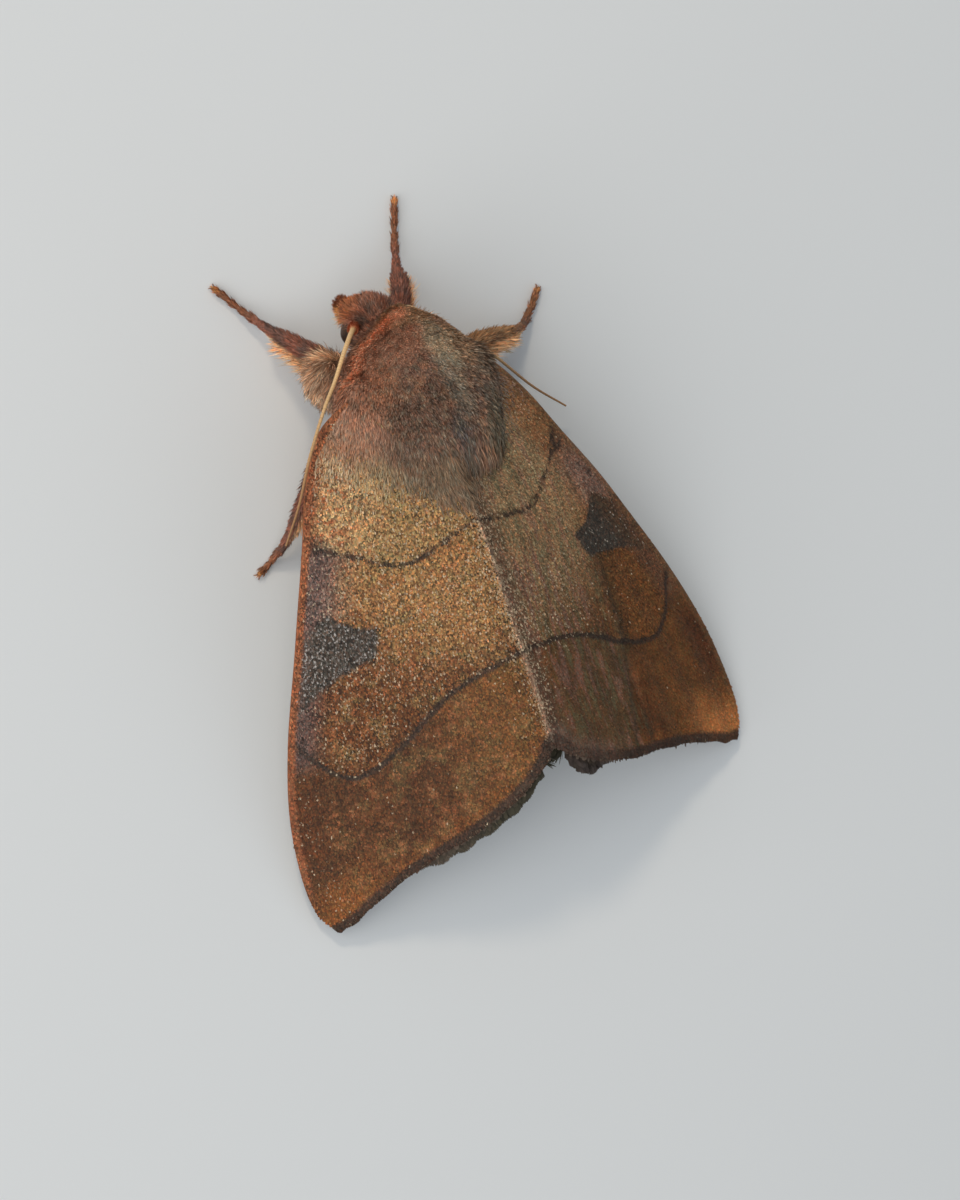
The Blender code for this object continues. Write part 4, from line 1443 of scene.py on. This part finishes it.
straw = antenna_look()
for number, (side, stations) in enumerate(ANTENNAE.items()):
    t = np.linspace(0, 1, RINGS * 5 + 1)
    ring = (t * RINGS) % 1.0
    radius = (0.115 - 0.072 * t) * (0.90 + 0.16 * ring)
    radius = radius + 0.10 * smooth(t, 0.065, 0.045)
    points, faces = tube(curve_at(stations, t), radius, RING_SIDES)
    marks = {"place": points, "reach": np.append(np.repeat(t, RING_SIDES), (0, 1)),
             "ring": np.append(np.repeat(ring, RING_SIDES), (0, 1))}
    new_piece("antenna_" + side + "_rings", points, faces, marks,
              ("antenna_" + side,), straw)
    draw = np.random.default_rng(161 + number)
    reach = draw.uniform(0.0, 0.065, BASE_HAIRS)
    base = curve_at(stations, reach)
    ahead = curve_at(stations, reach + 0.01) - base
    out = unit(np.cross(ahead, draw.normal(0, 1, (BASE_HAIRS, 3))))
    ahead = unit(ahead)
    marks = {"place": base, "reach": np.zeros(BASE_HAIRS), "ring": np.ones(BASE_HAIRS)}
    blades("antenna_" + side + "_scape_hair", base + out * 0.17, ahead + out * 0.5, out,
           draw.uniform(0.10, 0.20, BASE_HAIRS), draw.uniform(0.012, 0.02, BASE_HAIRS), VELVET,
           marks, 0.5 + 0.02 * out[:, :2], straw, 0.3, 171 + number)


# ---------------------------------------------------------------------------
# Claws and shin spurs: a spread pair of bare dark horn at the tip of each
# foot, down to the floor, and pale spurs on the shins of the mid and hind legs.
# ---------------------------------------------------------------------------
def horn_look(name, colour):
    look = Look(name, Specular_IOR_Level=0.5)
    place = look.mark("place", "Vector")
    cloud = look.noise(place, 5.0)
    look.colour = look.mix(colour, (0.30, 0.12, 0.05), cloud)
    look.lighten(0.8 + 0.4 * cloud)
    return look.finished(0.30 + 0.2 * cloud, cloud, 0.00001, 0.3)


def horns(name, runs, radius, taper, look):
    """Tapered horns along the given runs, joined in one piece."""
    t = np.linspace(0, 1, 12)
    points, faces = joined([tube(curve_at(run, t), radius - taper * t, 8) for run in runs])
    points[:, 2] = np.maximum(points[:, 2], FLOOR_GAP)
    new_piece(name, points, faces, {"place": points}, look=look)


# Places of the shin spurs along each leg's run, and the side that each is on.
SPURS = {"fore": (), "mid": ((0.66, 1), (0.68, -1)),
         "hind": ((0.50, 1), (0.52, -1), (0.66, 1), (0.68, -1))}

claw_horn = horn_look("claw", (0.090, 0.040, 0.022))
spur_horn = horn_look("spur", (0.560, 0.400, 0.220))
for name in LEGS:
    centre, radius, _, ahead = leg_run(name)
    tip, way = centre[-1], ahead[-1]
    way = way * (1, 1, 0) / np.linalg.norm(way[:2])
    across = np.cross(way, (0, 0, 1))
    runs = [[tip - way * 0.05, tip + way * 0.10 + across * 0.07 * sign + (0, 0, 0.02),
             tip + way * 0.18 + across * 0.12 * sign - (0, 0, 0.05),
             tip + way * 0.19 + across * 0.13 * sign - (0, 0, tip[2] - 0.012)]
            for sign in (-1, 1)]
    horns("claws_" + name, runs, 0.034, 0.024, claw_horn)
    runs = []
    for share, sign in SPURS[name.split("_")[0]]:
        row = int(share * (len(centre) - 1))
        outward = np.cross(ahead[row], (0, 0, 1))
        start = centre[row] - (0, 0, radius[row] * 0.6)
        end = start + ahead[row] * 0.55 + outward * 0.22 * sign - (0, 0, 0.10)
        runs.append([start, (start + end) / 2 - (0, 0, 0.02), end])
    if runs:
        horns("spurs_" + name, runs, 0.055, 0.035, spur_horn)


# ---------------------------------------------------------------------------
# The floor, the light and the camera.
# ---------------------------------------------------------------------------
bpy.ops.mesh.primitive_plane_add(size=1.6)
floor = bpy.context.object
floor.name = "floor"
floor_look = Look("pale_floor", Base_Color=(0.755, 0.785, 0.805), Roughness=0.85)
floor.data.materials.append(floor_look.material)


def studio_light(name, direction, distance, size, power, colour):
    lamp = bpy.data.lights.new(name, "AREA")
    lamp.shape = "DISK"
    lamp.size = size
    lamp.energy = power
    lamp.color = colour
    holder = linked(name, lamp)
    direction = Vector(direction).normalized()
    holder.location = direction * distance
    holder.rotation_euler = direction.to_track_quat("Z", "Y").to_euler()


studio_light("key", (-0.07, 1.0, 1.0), 0.34, 0.05, 0.22, (1.0, 0.84, 0.64))
studio_light("side", (-0.90, 0.10, 1.0), 0.25, 0.36, 0.46, (1.0, 0.955, 0.90))
world = bpy.data.worlds.new("studio")
world.use_nodes = True
sky = world.node_tree.nodes["Background"].inputs
sky["Color"].default_value = (0.84, 0.92, 1.0, 1.0)
sky["Strength"].default_value = 0.36
bpy.context.scene.world = world

# The camera stands over the back, turned against the body in degrees.
CAMERA_TURN = {"Z": 21.986, "X": 5.273, "Y": 16.990}
CAMERA_PLACE = (-2.6403, 9.8333, 170.0)
lens = bpy.data.cameras.new("camera")
lens.lens = 118.955
lens.sensor_width = 36.0
lens.clip_start = 0.005
camera = linked("camera", lens)
turn = Matrix.Identity(4)
for axis, degrees in CAMERA_TURN.items():
    turn = turn @ Matrix.Rotation(math.radians(degrees), 4, axis)
stand = Matrix.Translation(Vector(CAMERA_PLACE) * MM)
camera.matrix_world = Matrix.Translation(Vector(-MIDDLE) * MM) @ turn.transposed() @ stand
bpy.context.scene.camera = camera
bpy.context.scene.view_settings.view_transform = "Standard"
